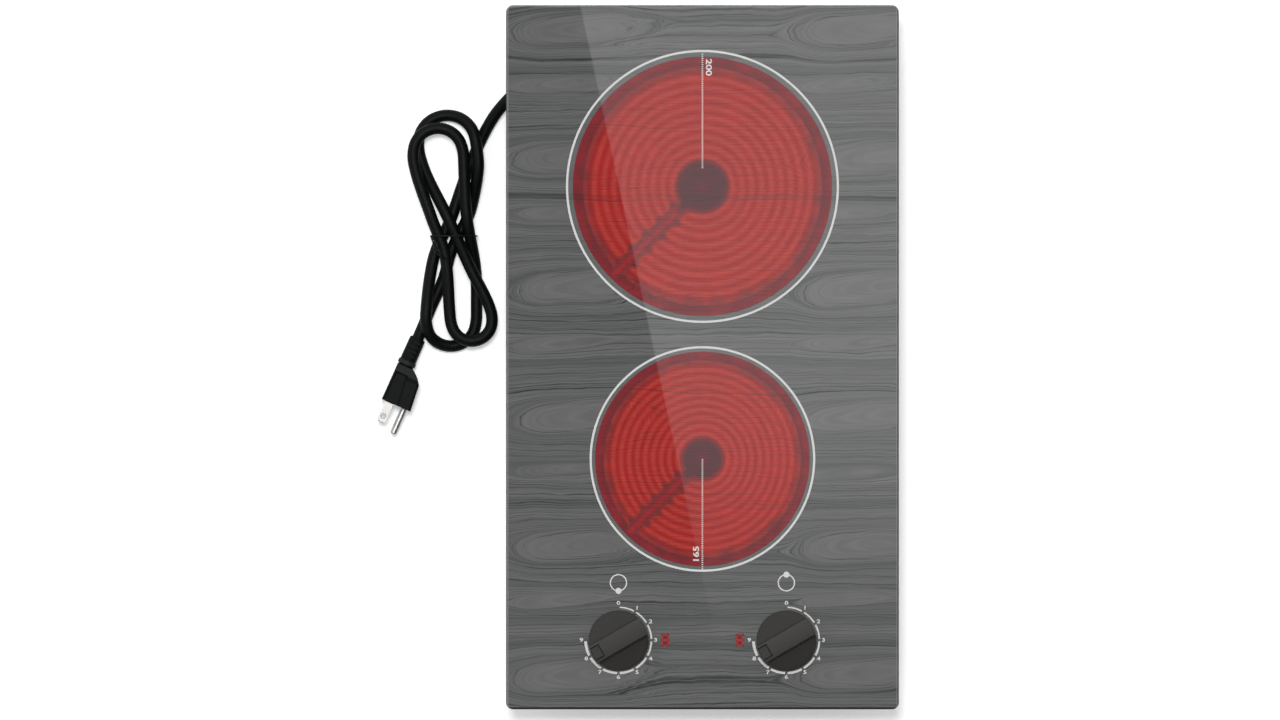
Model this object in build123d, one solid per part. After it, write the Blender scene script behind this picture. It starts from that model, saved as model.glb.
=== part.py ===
from build123d import *
from math import asin, cos, radians, sin, tan
import os

import numpy as np

# Two-zone glass-ceramic radiant cooktop with two rotary knobs, and its mains cord tied in a hank.
# Millimetres. +Y points to the back, +Z up. The origin is on the floor under the middle of the glass.

# Glass plate
GLASS_WIDTH = 290.0
GLASS_DEPTH = 520.0
GLASS_THICKNESS = 4.0
GLASS_CORNER = 5.0
GLASS_BEVEL = 1.2
GLASS_BOTTOM = 56.0
GLASS_TOP = GLASS_BOTTOM + GLASS_THICKNESS
SHAFT_HOLE_RADIUS = 5.5

# Housing under the glass
FOOT_HEIGHT = 8.0
FOOT_RADIUS = 11.0
FOOT_SOLE_RADIUS = 9.5
FOOT_RECESS_RADIUS = 5.5
FOOT_RECESS_DEPTH = 4.0
FOOT_BAND = 2.0
FOOT_X = 114.0
FOOT_Y = 224.0
SHEET = 0.8
PAN_WIDTH = 262.0
PAN_DEPTH = 482.0
PAN_CORNER = 4.0
PAN_FLOOR = FOOT_HEIGHT + SHEET
PAN_TOP = 53.5
FLANGE_BOTTOM = 53.7
FLANGE_TOP = FLANGE_BOTTOM + SHEET
FLANGE_WIDTH = 278.0
FLANGE_DEPTH = 498.0
FLANGE_RIM = 18.0
SEAL_RIM = 8.0
LEG_BOTTOM = 38.0
LEG_GAP = 0.15
VENT_LENGTH = 40.0
VENT_WIDTH = 3.5
VENT_PITCH = 10.0
VENT_COUNT = 11
VENT_ROWS = (25.0, -150.0)

# How far a cutting shape passes the face it opens
OVERCUT = 1.0

# Screws
SCREW_RADIUS = 1.75
SCREW_HOLE = 1.85
SCREW_HEAD_RADIUS = 3.5
SCREW_HEAD_HEIGHT = 2.0
FRAME_SCREW_HEIGHT = 46.0
FRAME_SCREW_LENGTH = 8.0
FRAME_SCREW_Y = 160.0
FRAME_SCREW_X = 70.0
FLOOR_SCREW_TOP = 14.0

# Heaters: centre y, dish radius, glowing radius and hub radius; the ribbon's first radius, pitch, number
# of turns and half the gap that it leaves for the limiter
ZONES = {
    "rear": dict(y=126.2, dish=99.0, glow=95.0, hub=20.0, first=22.2, pitch=7.22, turns=9, gap_half=9.5),
    "front": dict(y=-75.1, dish=81.5, glow=78.5, hub=15.75, first=18.7, pitch=5.92, turns=9, gap_half=8.0),
}
DISH_BOTTOM = 29.5
DISH_TOP = 55.0
DISH_SHEET = 0.6
INSULATION_GAP = 0.1
INSULATION_FLOOR = 38.0
HUB_TOP = 44.0
RING_FOOT_SHARE = 0.93
LIMITER_ANGLE = 225.0
LIMITER_RADIUS = 3.0
LIMITER_BORE = 2.0
LIMITER_HOLE = 3.4
LIMITER_HEIGHT = 48.0
LIMITER_OVER_HUB = 4.0
LIMITER_TIP = 2.0
SWITCH_GAP = 0.5
SWITCH_LENGTH = 22.0
SWITCH_WIDTH = 24.0
SWITCH_BOTTOM = 37.0
SWITCH_TOP = 54.5
SWITCH_EDGE = 2.0
TAB_OFFSET = 7.0
TAB_LENGTH = 8.0
TAB_WIDTH = 6.3
TAB_THICKNESS = 0.8
TAB_BOTTOM = 41.0
RIBBON_HEIGHT = 5.0
RIBBON_THICKNESS = 0.8
RIBBON_LEAD_OFFSET = 3.6
RIBBON_SLOT = 1.2
RIBBON_SLOT_HEADROOM = 0.5

# Supports that press the heaters against the glass
BAR_WIDTH = 30.0
BAR_SHEET = 1.2
BAR_TOP = 21.2
BAR_LEG_X = 112.0
BAR_FOOT_X = 126.0
BAR_SCREW_X = 119.0
SPRING_CHORD = 120.0
SPRING_WIDTH = 14.0
SPRING_SHEET = 0.8
SPRING_PLAY = 0.05

# Controls
CONTROL_X = 62.0
CONTROL_Y = -208.9
BRACKET_HALF_LENGTH = 88.0
BRACKET_FOOT = 12.0
BRACKET_WIDTH = 44.0
BRACKET_TOP = 40.0
BRACKET_SHEET = 1.2
BOARD_BOTTOM = 44.0
BOARD_THICKNESS = 1.6
BOARD_LENGTH = 168.0
BOARD_WIDTH = 42.0
BOARD_HOLE_X = 78.0
BOARD_HOLE_Y = 16.0
SPACER_RADIUS = 3.0
BOARD_SCREW_RADIUS = 1.4
BOARD_SCREW_HOLE = 1.5
BOARD_SCREW_HEAD = 1.8
BOARD_SCREW_TIP = 3.0
CONTROL_SIZE = 17.0
CONTROL_TOP = 54.0
CONTROL_EDGE = 1.5
SHAFT_RADIUS = 3.0
SHAFT_BORE = 3.05
SHAFT_BOTTOM = 46.5
SHAFT_TOP = 75.5
SHAFT_END_PLAY = 0.2
SHAFT_FLAT = 1.5
SHAFT_FLAT_LENGTH = 12.0
SEAL_BORE = 3.4
SEAL_FLANGE_RADIUS = 8.0
SEAL_FLANGE_THICKNESS = 1.0
DIGIT_X = 27.5
DIGIT_WIDTH = 5.8
DIGIT_HEIGHT = 9.3
DIGIT_BAR = 1.4
DIGIT_THICKNESS = 0.3
DIGIT_TRIM = 0.1
DISPLAY_WIDTH = 12.4
DISPLAY_DEPTH = 16.0
DISPLAY_TOP = 55.3
DISPLAY_EDGE = 0.6

# Knobs: built pointing at the back, then turned clockwise to the number shown
KNOB_RADIUS = 22.0
KNOB_BOTTOM = 61.0
KNOB_TOP = 81.0
KNOB_SKIRT_INNER = 72.0
KNOB_SKIRT_OUTER = 66.0
KNOB_SKIRT_EDGE = 1.3
KNOB_BAR_WIDTH = 13.8
KNOB_BAR_DRAFT = 0.7
KNOB_BAR_CROWN = 0.35
KNOB_EDGE = 0.5
KNOB_POCKET_TOP = 67.0
KNOB_POCKET_RADIUS = 14.0
KNOB_HUB_RADIUS = 6.5
KNOB_BORE_TOP = 76.0
KNOB_TURN = 240.0
MARKER_INNER = 15.2
MARKER_WIDTH = 8.4
MARKER_DEPTH = 2.6
MARKER_GROOVE = 0.95
MARKER_RIM = 0.4
MARKER_SINK = 0.35
CLIP_THICKNESS = 0.6
CLIP_PLAY = 0.05
CLIP_BOTTOM = 62.0
CLIP_TOP = 66.0
CLIP_OPENING = 5.0

# Power electronics under the controls
POWER_BOARD_X = -10.0
POWER_BOARD_LENGTH = 130.0
POWER_BOARD_WIDTH = 40.0
POWER_BOARD_BOTTOM = 15.0
POWER_HOLE_X = 60.0
POWER_HOLE_Y = 15.0
STANDOFF_RADIUS = 3.0
STANDOFF_PIN = 1.4
STANDOFF_PIN_TOP = 19.0
RELAY_SIZE = (15.0, 28.0, 16.0)
RELAY_X = (-40.0, -20.0)
RELAY_EDGE = 1.0
TRANSFORMER_SIZE = (32.0, 28.0, 19.0)
TRANSFORMER_X = 6.0
TRANSFORMER_EDGE = 3.0
TERMINAL_SIZE = (34.0, 18.0, 14.0)
TERMINAL_X = -92.0
TERMINAL_Y = 212.0
TERMINAL_PITCH = 10.0
TERMINAL_WELL = 3.0
TERMINAL_WELL_DEPTH = 5.0

# Internal wires: spacing, straight stubs at their ends, and the columns and heights they run at
WIRE_RADIUS = 1.3
WIRE_STUB = 5.0
WIRE_PITCH = 4.0
CORE_SPREAD = 3.2
CORE_PITCH = 5.0
CORE_OFFSET = 2.0
CORE_HEIGHT = PAN_FLOOR + 7.0
SUPPLY_COLUMN = -116.5
SUPPLY_TERMINAL_X = TERMINAL_X - 14.0
SUPPLY_PITCH = 6.0
SUPPLY_FIRST_RUN = 8.0
SUPPLY_TURN_Y = 181.0
SUPPLY_START_HEIGHT = PAN_FLOOR + 9.0
SUPPLY_WAYPOINTS = ((0.0, SUPPLY_TURN_Y, 24.0), (0.0, 40.0, 24.5), (0.0, -100.0, 24.0), (2.0, -163.9, 24.5))
SUPPLY_CORNER = (-85.0, -178.9)
SUPPLY_HIGH = POWER_BOARD_BOTTOM + BOARD_THICKNESS + 13.0
SUPPLY_LANDING = (-65.0, CONTROL_Y + 8.0)
SUPPLY_APPROACH = (-4.0, 10.0)
HEATER_COLUMN = -104.0
HEATER_TAB_RUN = 6.0
HEATER_FIRST_DROP = 30.0
HEATER_HEIGHT = 33.0
HEATER_WAYPOINTS = ((1.0, -60.0, 32.5), (0.0, -150.0, HEATER_HEIGHT))
HEATER_ZONE_PITCH = 8.0
HEATER_CORNER = (6.0, CONTROL_Y + 38.0)
HEATER_CROSSING = (-40.0, CONTROL_Y + 30.0)
HEATER_CROSSING_HEIGHT = 33.5
HEATER_APPROACH = (-6.0, CONTROL_Y + 18.0, 31.0)
HEATER_LANDING = (33.0, CONTROL_Y + 12.0)
HEATER_LANDING_PITCH = 5.0

# Mains cord, traced from the photo: it lies on the floor at the left of the housing
CORD_DIAMETER = 8.8
CORD_RADIUS = CORD_DIAMETER / 2
CORD_LOW = CORD_RADIUS + 0.05
CORD_HIGH = CORD_LOW + 9.85
TIE_WIRE = 0.6
TIE_LIFT = 1.9
BUSHING_WALL = (-131.0, 203.0, 18.0)
BUSHING_DIRECTION = (-0.683, -0.683, -0.2588)
BUSHING_OUTSIDE = 13.9
BUSHING_INSIDE = 11.0
BUSHING_RADIUS = 7.0
BUSHING_PLAY = 0.2
BUSHING_COLLAR = 1.0
BUSHING_STEM_OUTSIDE = 4.0
BUSHING_TIP_RADIUS = 5.2
BUSHING_PLATE = 3.0
BUSHING_PLATE_HALF = 8.8
BUSHING_PLATE_EXTRA = 3.0
LEAD_POINTS = (
    (-140.494, 193.506, 14.403),
    (-150.056, 183.944, 10.779),
    (-158.6, 170.6, 6.2),
    (-165.2, 157.2, CORD_LOW),
    (-170.3, 144.9, CORD_LOW),
)
TAIL_POINTS = (
    (-195.4, 48.1, CORD_LOW),
    (-200.8, 36.5, CORD_LOW),
    (-206.442, 22.146, 4.598),
    (-210.4, 13.29, 6.8),
)

# Figure-eight hank. Each lobe: centre x, centre y, radius, start angle, signed sweep, and the
# cord's height at its start, middle and end. Each strand: the points it passes at the waist.
HANK_LOBES = (
    (-185.6, 26.5, 18.9, 176, 186, (CORD_HIGH + 0.8, CORD_LOW + 0.6, CORD_LOW)),
    (-195.3, 150.9, 18.9, 2, 186, (CORD_HIGH, CORD_HIGH, CORD_HIGH)),
    (-170.4, 27.0, 15.6, 187, 184, (CORD_HIGH, CORD_HIGH, CORD_HIGH)),
    (-188.6, 157.5, 21.6, 190, -190, (CORD_LOW, CORD_LOW + 1.2, CORD_HIGH)),
)
WAIST_LOW = CORD_LOW + TIE_LIFT
WAIST_HIGH = CORD_HIGH + TIE_LIFT
HANK_STRANDS = (
    ((-186.6, 100.0, WAIST_LOW), (-198.2, 75.0, WAIST_LOW)),
    ((-167.4, 64.0, CORD_LOW), (-174.2, 105.0, WAIST_HIGH)),
    ((-199.0, 100.0, WAIST_HIGH), (-190.0, 76.0, WAIST_HIGH)),
    ((-171.5, 66.0, CORD_HIGH), (-186.6, 100.0, WAIST_HIGH)),
    ((-165.3, 141.4, CORD_HIGH), (-172.0, 106.0, CORD_LOW + 0.3), (-180.3, 90.0, WAIST_LOW),
     (-186.8, 75.0, WAIST_LOW)),
)
GAP_SAMPLES = 1600

# Wire tie round the hank's waist: its outline across the bundle, as x and z, and its two loose ends
TIE_Y = 89.6
TIE_CORNER = 3.0
TIE_OUTLINE = (
    (-196.6, 0.85),
    (-171.0, 0.85),
    (-166.3, 9.0),
    (-166.3, 17.5),
    (-179.0, 21.7),
    (-200.8, 21.7),
    (-200.8, 10.0),
)
TIE_ENDS = (
    (
        (-200.6, 89.6, 17.0),
        (-199.2, 85.6, 19.0),
        (-197.6, 82.0, 20.0),
        (-198.4, 79.0, 20.6),
        (-196.2, 76.4, 21.3),
        (-189.4, 72.6, 21.8),
    ),
    (
        (-199.6, 89.6, 21.7),
        (-198.3, 86.7, 21.2),
        (-196.0, 83.7, 21.4),
        (-195.3, 81.2, 21.4),
        (-196.2, 79.0, 20.6),
        (-195.0, 76.9, 19.8),
    ),
)

# Plug lying on its side: along its axis from the cord, and across it towards the earth pin
PLUG_ORIGIN = (-210.4, 13.29)
PLUG_DIRECTION = (-0.408, -0.913)
PLUG_AXIS_HEIGHT = 11.0
PLUG_CORD_HEIGHT = 6.8
BOOT_LENGTH = 17.5
BOOT_RADIUS = 5.9
BOOT_END_RADIUS = 6.1
BOOT_SLOTS = 4
BOOT_SLOT_START = 2.6
BOOT_SLOT_PITCH = 3.6
BOOT_SLOT_SIZE = (1.6, 7.0, 1.5)
BOOT_SLOT_PROUD = 0.6
BOOT_OVERLAP = 1.0
COLLAR_END = 20.6
COLLAR_RADIUS = 6.75
NECK_END = 22.0
NECK_RADIUS = 6.0
PLUG_FACE = 51.0
PLUG_LEFT = -6.2
PLUG_RIGHT = 17.0
PLUG_SHOULDER = (31.0, 15.0)
PLUG_SHOULDER_MIDDLE = (25.6, 10.9)
PLUG_NECK_RIGHT = (NECK_END, 6.4)
PLUG_HALF_THICKNESS = 10.3
PLUG_NECK_HALF_THICKNESS = 6.9
PLUG_TAPER_END = 31.0
PLUG_EDGE = 2.0
PANEL_HEIGHT = 0.6
PANEL_CORNER = 1.5
PANEL_OUTLINE = ((28.4, -4.4), (51.0, -4.6), (51.0, 6.6), (28.2, 3.8))
BLADE_WIDTH = 6.35
BLADE_THICKNESS = 1.5
BLADE_LENGTH = 16.0
BLADE_SPACING = 12.7
BLADE_HOLE_RADIUS = 1.6
BLADE_HOLE_FROM_TIP = 5.0
BLADE_TIP_EDGE = 1.4
EARTH_OFFSET = 11.9
EARTH_RADIUS = 2.4
EARTH_LENGTH = 20.4
EARTH_TIP_EDGE = 1.0


def block(x0, x1, y0, y1, z0, z1):
    """Box between two opposite corners."""
    middle = Pos((x0 + x1) / 2, (y0 + y1) / 2, (z0 + z1) / 2)
    return middle * Box(x1 - x0, y1 - y0, z1 - z0)


def post(x, y, z0, z1, radius):
    """Upright cylinder."""
    return Pos(x, y, (z0 + z1) / 2) * Cylinder(radius, z1 - z0)


def rod(start, end, radius, end_radius=None):
    """Cylinder, or cone, between two points."""
    axis = Vector(end) - Vector(start)
    stand = (Align.CENTER, Align.CENTER, Align.MIN)
    if end_radius is None:
        solid = Cylinder(radius, axis.length, align=stand)
    else:
        solid = Cone(radius, end_radius, axis.length, align=stand)
    return Plane(origin=start, z_dir=axis) * solid


def slab(width, depth, corner, z0, z1):
    """Plate with rounded corners, centred on the origin in plan."""
    return Pos(0, 0, z0) * extrude(RectangleRounded(width, depth, corner), amount=z1 - z0)


def turned(outline, x, y):
    """Solid of revolution about an upright axis from radius and height pairs."""
    face = make_face(Polyline(*[(r, 0, z) for r, z in outline], close=True))
    return Pos(x, y, 0) * revolve(face, Axis.Z)


def cord_radii(points):
    """Largest tangent arc at each inner point: 0.45 of the shorter run over tan of half the turn."""
    spots = [Vector(p) for p in points]
    radii = []
    for before, here, after in zip(spots, spots[1:], spots[2:]):
        incoming = here - before
        outgoing = after - here
        half_turn = radians(incoming.get_angle(outgoing)) / 2
        radii.append(0.45 * min(incoming.length, outgoing.length) / tan(half_turn))
    return radii


def tube_along(path, radius):
    """Round tube along a path."""
    return sweep(Plane(origin=path @ 0, z_dir=path % 0) * Circle(radius), path=path)


def cord_tube(name, points, radius):
    """Tube on straight runs and tangent arcs; prints its radii and its volume over section times length."""
    radii = cord_radii(points)
    path = FilletPolyline(*points, radius=radii)
    tube = tube_along(path, radius)
    share = tube.volume / (np.pi * radius**2 * path.length)
    print(f"{name}: length {path.length:.1f}, least radius {min(radii):.1f}, volume share {share:.4f}")
    return tube


def wire_run(points, radius=WIRE_RADIUS):
    """Thin insulated wire on straight runs and tangent arcs."""
    return tube_along(FilletPolyline(*points, radius=cord_radii(points)), radius)


def biarc_edges(start, start_heading, end, end_heading):
    """Two tangent arcs from one point and heading to another, with tangent lengths alike."""
    span = end - start
    both = start_heading + end_heading
    bend = 2 * (1 - start_heading.dot(end_heading))
    if bend < 1e-9:
        reach = span.dot(span) / (2 * span.dot(both))
    else:
        along = span.dot(both)
        reach = ((along**2 + bend * span.dot(span)) ** 0.5 - along) / bend
    joint = (start + start_heading * reach + end - end_heading * reach) * 0.5
    first = arc_or_line(start, joint, start_heading, True)
    second = arc_or_line(joint, end, end_heading, False)
    return [first, second]


def arc_or_line(start, end, heading, from_first):
    """Arc tangent to a heading at one end, or a line where it would be straight."""
    chord = end - start
    if chord.cross(heading).length < 1e-4 * chord.length:
        return Line(start, end)
    if from_first:
        return TangentArc(start, end, tangent=heading)
    there = chord.normalized()
    heading_at_start = there * (2 * there.dot(heading)) - heading
    return TangentArc(start, end, tangent=heading_at_start)


def least_gap(path, thickness):
    """Least free gap between stretches of a path that are over three thicknesses apart along it."""
    spots = np.array([tuple(path @ (i / GAP_SAMPLES)) for i in range(GAP_SAMPLES + 1)])
    steps = np.linalg.norm(np.diff(spots, axis=0), axis=1)
    along = np.concatenate([[0.0], np.cumsum(steps)])
    apart = np.linalg.norm(spots[:, None] - spots[None], axis=2)
    far = np.abs(along[:, None] - along[None]) > 3 * thickness
    return apart[far].min() - thickness


# Glass, seal, frame, pan and feet

def glass_top():
    plate = slab(GLASS_WIDTH, GLASS_DEPTH, GLASS_CORNER, GLASS_BOTTOM, GLASS_TOP)
    rim = plate.faces().sort_by(Axis.Z)[-1].edges()
    plate = chamfer(rim, GLASS_BEVEL)
    for side in (-1, 1):
        x = side * CONTROL_X
        plate -= post(x, CONTROL_Y, GLASS_BOTTOM - OVERCUT, GLASS_TOP + OVERCUT, SHAFT_HOLE_RADIUS)
    return plate


def glass_seal():
    outer = slab(FLANGE_WIDTH, FLANGE_DEPTH, GLASS_CORNER, FLANGE_TOP, GLASS_BOTTOM)
    inner_width = FLANGE_WIDTH - 2 * SEAL_RIM
    inner_depth = FLANGE_DEPTH - 2 * SEAL_RIM
    return outer - slab(inner_width, inner_depth, GLASS_CORNER / 2, FLANGE_TOP, GLASS_BOTTOM)


def frame_screw_places():
    """Place and outward direction of each screw that joins the frame's leg to the pan."""
    leg_x = PAN_WIDTH / 2 + LEG_GAP + SHEET
    leg_y = PAN_DEPTH / 2 + LEG_GAP + SHEET
    places = []
    for side in (-1, 1):
        for end in (-1, 1):
            places.append(((side * leg_x, end * FRAME_SCREW_Y, FRAME_SCREW_HEIGHT), (side, 0, 0)))
            places.append(((side * FRAME_SCREW_X, end * leg_y, FRAME_SCREW_HEIGHT), (0, end, 0)))
    return places


def frame_screw(place, outward, radius, head_radius=None):
    """Shank from the leg's outer face inwards, with a head outside where one is asked for."""
    face = Vector(place)
    out = Vector(outward)
    screw = rod(face, face - out * FRAME_SCREW_LENGTH, radius)
    if head_radius:
        screw += rod(face, face + out * SCREW_HEAD_HEIGHT, head_radius)
    return screw


def glass_frame():
    flange = slab(FLANGE_WIDTH, FLANGE_DEPTH, GLASS_CORNER, FLANGE_BOTTOM, FLANGE_TOP)
    hole_width = FLANGE_WIDTH - 2 * FLANGE_RIM
    hole_depth = FLANGE_DEPTH - 2 * FLANGE_RIM
    flange -= slab(hole_width, hole_depth, GLASS_CORNER / 2, FLANGE_BOTTOM, FLANGE_TOP)
    inner = 2 * LEG_GAP
    outer = inner + 2 * SHEET
    leg = slab(PAN_WIDTH + outer, PAN_DEPTH + outer, PAN_CORNER + SHEET, LEG_BOTTOM, FLANGE_BOTTOM)
    leg -= slab(PAN_WIDTH + inner, PAN_DEPTH + inner, PAN_CORNER, LEG_BOTTOM, FLANGE_BOTTOM)
    frame = flange + leg
    for place, outward in frame_screw_places():
        frame -= frame_screw(place, outward, SCREW_HOLE)
    return frame


def floor_screw_places():
    """Screws through the pan's floor: two for each support bar, two for the control bracket."""
    places = []
    for side in (-1, 1):
        for zone in ZONES.values():
            places.append((side * BAR_SCREW_X, zone["y"]))
        places.append((side * (BRACKET_HALF_LENGTH + BRACKET_FOOT / 2), CONTROL_Y))
    return places


def foot_places():
    return {
        "rear_left": (-FOOT_X, FOOT_Y),
        "rear_right": (FOOT_X, FOOT_Y),
        "front_left": (-FOOT_X, -FOOT_Y),
        "front_right": (FOOT_X, -FOOT_Y),
    }


def base_pan():
    pan = slab(PAN_WIDTH, PAN_DEPTH, PAN_CORNER, FOOT_HEIGHT, PAN_TOP)
    pan -= slab(PAN_WIDTH - 2 * SHEET, PAN_DEPTH - 2 * SHEET, PAN_CORNER - SHEET, PAN_FLOOR, PAN_TOP)
    for row in VENT_ROWS:
        for number in range(VENT_COUNT):
            x = (number - (VENT_COUNT - 1) / 2) * VENT_PITCH
            slot = extrude(SlotOverall(VENT_LENGTH, VENT_WIDTH, rotation=90), amount=3 * SHEET)
            pan -= Pos(x, row, FOOT_HEIGHT - SHEET) * slot
    for x, y in floor_screw_places() + list(foot_places().values()):
        pan -= post(x, y, FOOT_HEIGHT - OVERCUT, PAN_FLOOR + OVERCUT, SCREW_HOLE)
    for place, outward in frame_screw_places():
        pan -= frame_screw(place, outward, SCREW_HOLE)
    pan -= bushing_stem(BUSHING_RADIUS + BUSHING_PLAY)
    return pan


def foot(x, y):
    """Tapered rubber foot, recessed below for its screw."""
    outline = (
        (SCREW_HOLE, FOOT_RECESS_DEPTH),
        (FOOT_RECESS_RADIUS, FOOT_RECESS_DEPTH),
        (FOOT_RECESS_RADIUS, 0),
        (FOOT_SOLE_RADIUS, 0),
        (FOOT_RADIUS, FOOT_HEIGHT - FOOT_BAND),
        (FOOT_RADIUS, FOOT_HEIGHT),
        (SCREW_HOLE, FOOT_HEIGHT),
    )
    return turned(outline, x, y)


def upward_screw(x, y, seat):
    """Screw driven from below: the head hangs under its seat, and the shank ends inside the pan."""
    shank = post(x, y, seat, FLOOR_SCREW_TOP, SCREW_RADIUS)
    return shank + post(x, y, seat - SCREW_HEAD_HEIGHT, seat, SCREW_HEAD_RADIUS)


def floor_screws():
    """Screws of the feet, the support bars and the control bracket, all alike."""
    screws = [upward_screw(x, y, FOOT_RECESS_DEPTH) for x, y in foot_places().values()]
    return screws + [upward_screw(x, y, FOOT_HEIGHT) for x, y in floor_screw_places()]


# Heaters

def limiter_plane(zone):
    """Plane at the zone's centre whose X axis points along the limiter."""
    angle = radians(LIMITER_ANGLE)
    return Plane(origin=(0, zone["y"], 0), x_dir=(cos(angle), sin(angle), 0))


def radial_block(zone, r0, r1, w0, w1, z0, z1):
    """Box along the limiter's direction, by radius, sideways place and height."""
    return limiter_plane(zone) * block(r0, r1, w0, w1, z0, z1)


def limiter_rod(zone, r0, r1, radius):
    return limiter_plane(zone) * rod((r0, 0, LIMITER_HEIGHT), (r1, 0, LIMITER_HEIGHT), radius)


def wall_cuts(zone):
    """Limiter hole and the two slots for the ribbon's leads, through the ring and the dish."""
    r0 = RING_FOOT_SHARE * zone["glow"] - OVERCUT
    r1 = zone["dish"] + OVERCUT
    slot_top = INSULATION_FLOOR + RIBBON_HEIGHT + RIBBON_SLOT_HEADROOM
    cuts = limiter_rod(zone, r0, r1, LIMITER_HOLE)
    for side in (-1, 1):
        w = side * RIBBON_LEAD_OFFSET
        cuts += radial_block(zone, r0, r1, w - RIBBON_SLOT, w + RIBBON_SLOT, INSULATION_FLOOR, slot_top)
    return cuts


def heater_dish(zone):
    outer = zone["dish"]
    inner = outer - DISH_SHEET
    outline = (
        (0, DISH_BOTTOM),
        (outer, DISH_BOTTOM),
        (outer, DISH_TOP),
        (inner, DISH_TOP),
        (inner, DISH_BOTTOM + DISH_SHEET),
        (0, DISH_BOTTOM + DISH_SHEET),
    )
    return turned(outline, 0, zone["y"]) - wall_cuts(zone)


def insulation_base(zone):
    """Moulded floor with a raised hub in the middle."""
    radius = zone["dish"] - DISH_SHEET - INSULATION_GAP
    floor = post(0, zone["y"], DISH_BOTTOM + DISH_SHEET, INSULATION_FLOOR, radius)
    return floor + post(0, zone["y"], INSULATION_FLOOR, HUB_TOP, zone["hub"])


def insulation_ring(zone):
    """Ring with a sloping inner wall that reaches the glass."""
    outer = zone["dish"] - DISH_SHEET - INSULATION_GAP
    outline = (
        (RING_FOOT_SHARE * zone["glow"], INSULATION_FLOOR),
        (outer, INSULATION_FLOOR),
        (outer, GLASS_BOTTOM),
        (zone["glow"], GLASS_BOTTOM),
    )
    return turned(outline, 0, zone["y"]) - wall_cuts(zone)


def ribbon_edges(zone):
    """One serpentine: turns at even pitch round the hub, joined by hairpins beside the limiter.

    Worked out with the limiter along X. Turn number n has radius first + n * pitch, and neighbours
    are joined on alternate sides by a half circle, at the angle whose sine is half the gap over the
    radius between them. Straight leads run out along both sides of the limiter.
    """
    height = INSULATION_FLOOR + RIBBON_HEIGHT / 2
    pitch = zone["pitch"]
    radii = [zone["first"] + number * pitch for number in range(zone["turns"])]
    outside = zone["dish"] + SWITCH_GAP

    def spot(radius, angle, shift=0.0):
        x = radius * cos(angle) + shift * sin(abs(angle))
        y = radius * sin(angle) - shift * cos(angle) * (1 if angle > 0 else -1)
        return Vector(x, y, height)

    side = -1
    angle = asin(zone["gap_half"] / radii[0])
    start = spot(radii[0], side * angle)
    inlet = Vector(start.X + RIBBON_LEAD_OFFSET, side * RIBBON_LEAD_OFFSET, height)
    edges = [Line((outside, side * RIBBON_LEAD_OFFSET, height), inlet)]
    edges += biarc_edges(inlet, Vector(-1, 0, 0), start, Vector(-sin(angle), side * cos(angle), 0))
    for number, radius in enumerate(radii):
        side = -side
        last = number == len(radii) - 1
        between = radius + (0 if last else pitch / 2)
        angle = asin(zone["gap_half"] / between)
        end = spot(radius, side * angle)
        edges.append(ThreePointArc(start, (-radius, 0, height), end))
        if not last:
            start = spot(radii[number + 1], side * angle)
            edges.append(ThreePointArc(end, spot(between, side * angle, pitch / 2), start))
    outlet = Vector(end.X + RIBBON_LEAD_OFFSET, side * RIBBON_LEAD_OFFSET, height)
    edges += biarc_edges(end, Vector(sin(angle), -side * cos(angle), 0), outlet, Vector(1, 0, 0))
    edges.append(Line(outlet, (outside, side * RIBBON_LEAD_OFFSET, height)))
    return edges


def heating_ribbon(name, zone):
    path = Wire(ribbon_edges(zone))
    start = Plane(origin=path @ 0, x_dir=(0, 1, 0), z_dir=path % 0)
    section = start * Rectangle(RIBBON_THICKNESS, RIBBON_HEIGHT)
    gap = zone["pitch"] - RIBBON_THICKNESS
    print(f"{name}: {zone['turns']} turns, length {path.length:.0f}, gap between turns {gap:.1f}")
    return limiter_plane(zone) * sweep(section, path=path)


def limiter_tube(zone):
    inner_end = zone["hub"] - LIMITER_OVER_HUB
    outer_end = zone["dish"] + SWITCH_GAP
    bore = limiter_rod(zone, inner_end + LIMITER_TIP, outer_end, LIMITER_BORE)
    return limiter_rod(zone, inner_end, outer_end, LIMITER_RADIUS) - bore


def limiter_switch(zone):
    """Ceramic block beside the dish that holds the limiter and the heater's terminals."""
    r0 = zone["dish"] + SWITCH_GAP
    half = SWITCH_WIDTH / 2
    body = radial_block(zone, r0, r0 + SWITCH_LENGTH, -half, half, SWITCH_BOTTOM, SWITCH_TOP)
    return chamfer(body.edges().filter_by(Axis.Z), SWITCH_EDGE)


def heater_tabs(zone):
    """Two spade tabs on the switch block's outer face."""
    r0 = zone["dish"] + SWITCH_GAP + SWITCH_LENGTH
    tabs = []
    for side in (-1, 1):
        w = side * TAB_OFFSET
        half = TAB_THICKNESS / 2
        top = TAB_BOTTOM + TAB_WIDTH
        tabs.append(radial_block(zone, r0, r0 + TAB_LENGTH, w - half, w + half, TAB_BOTTOM, top))
    return tabs


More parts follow.
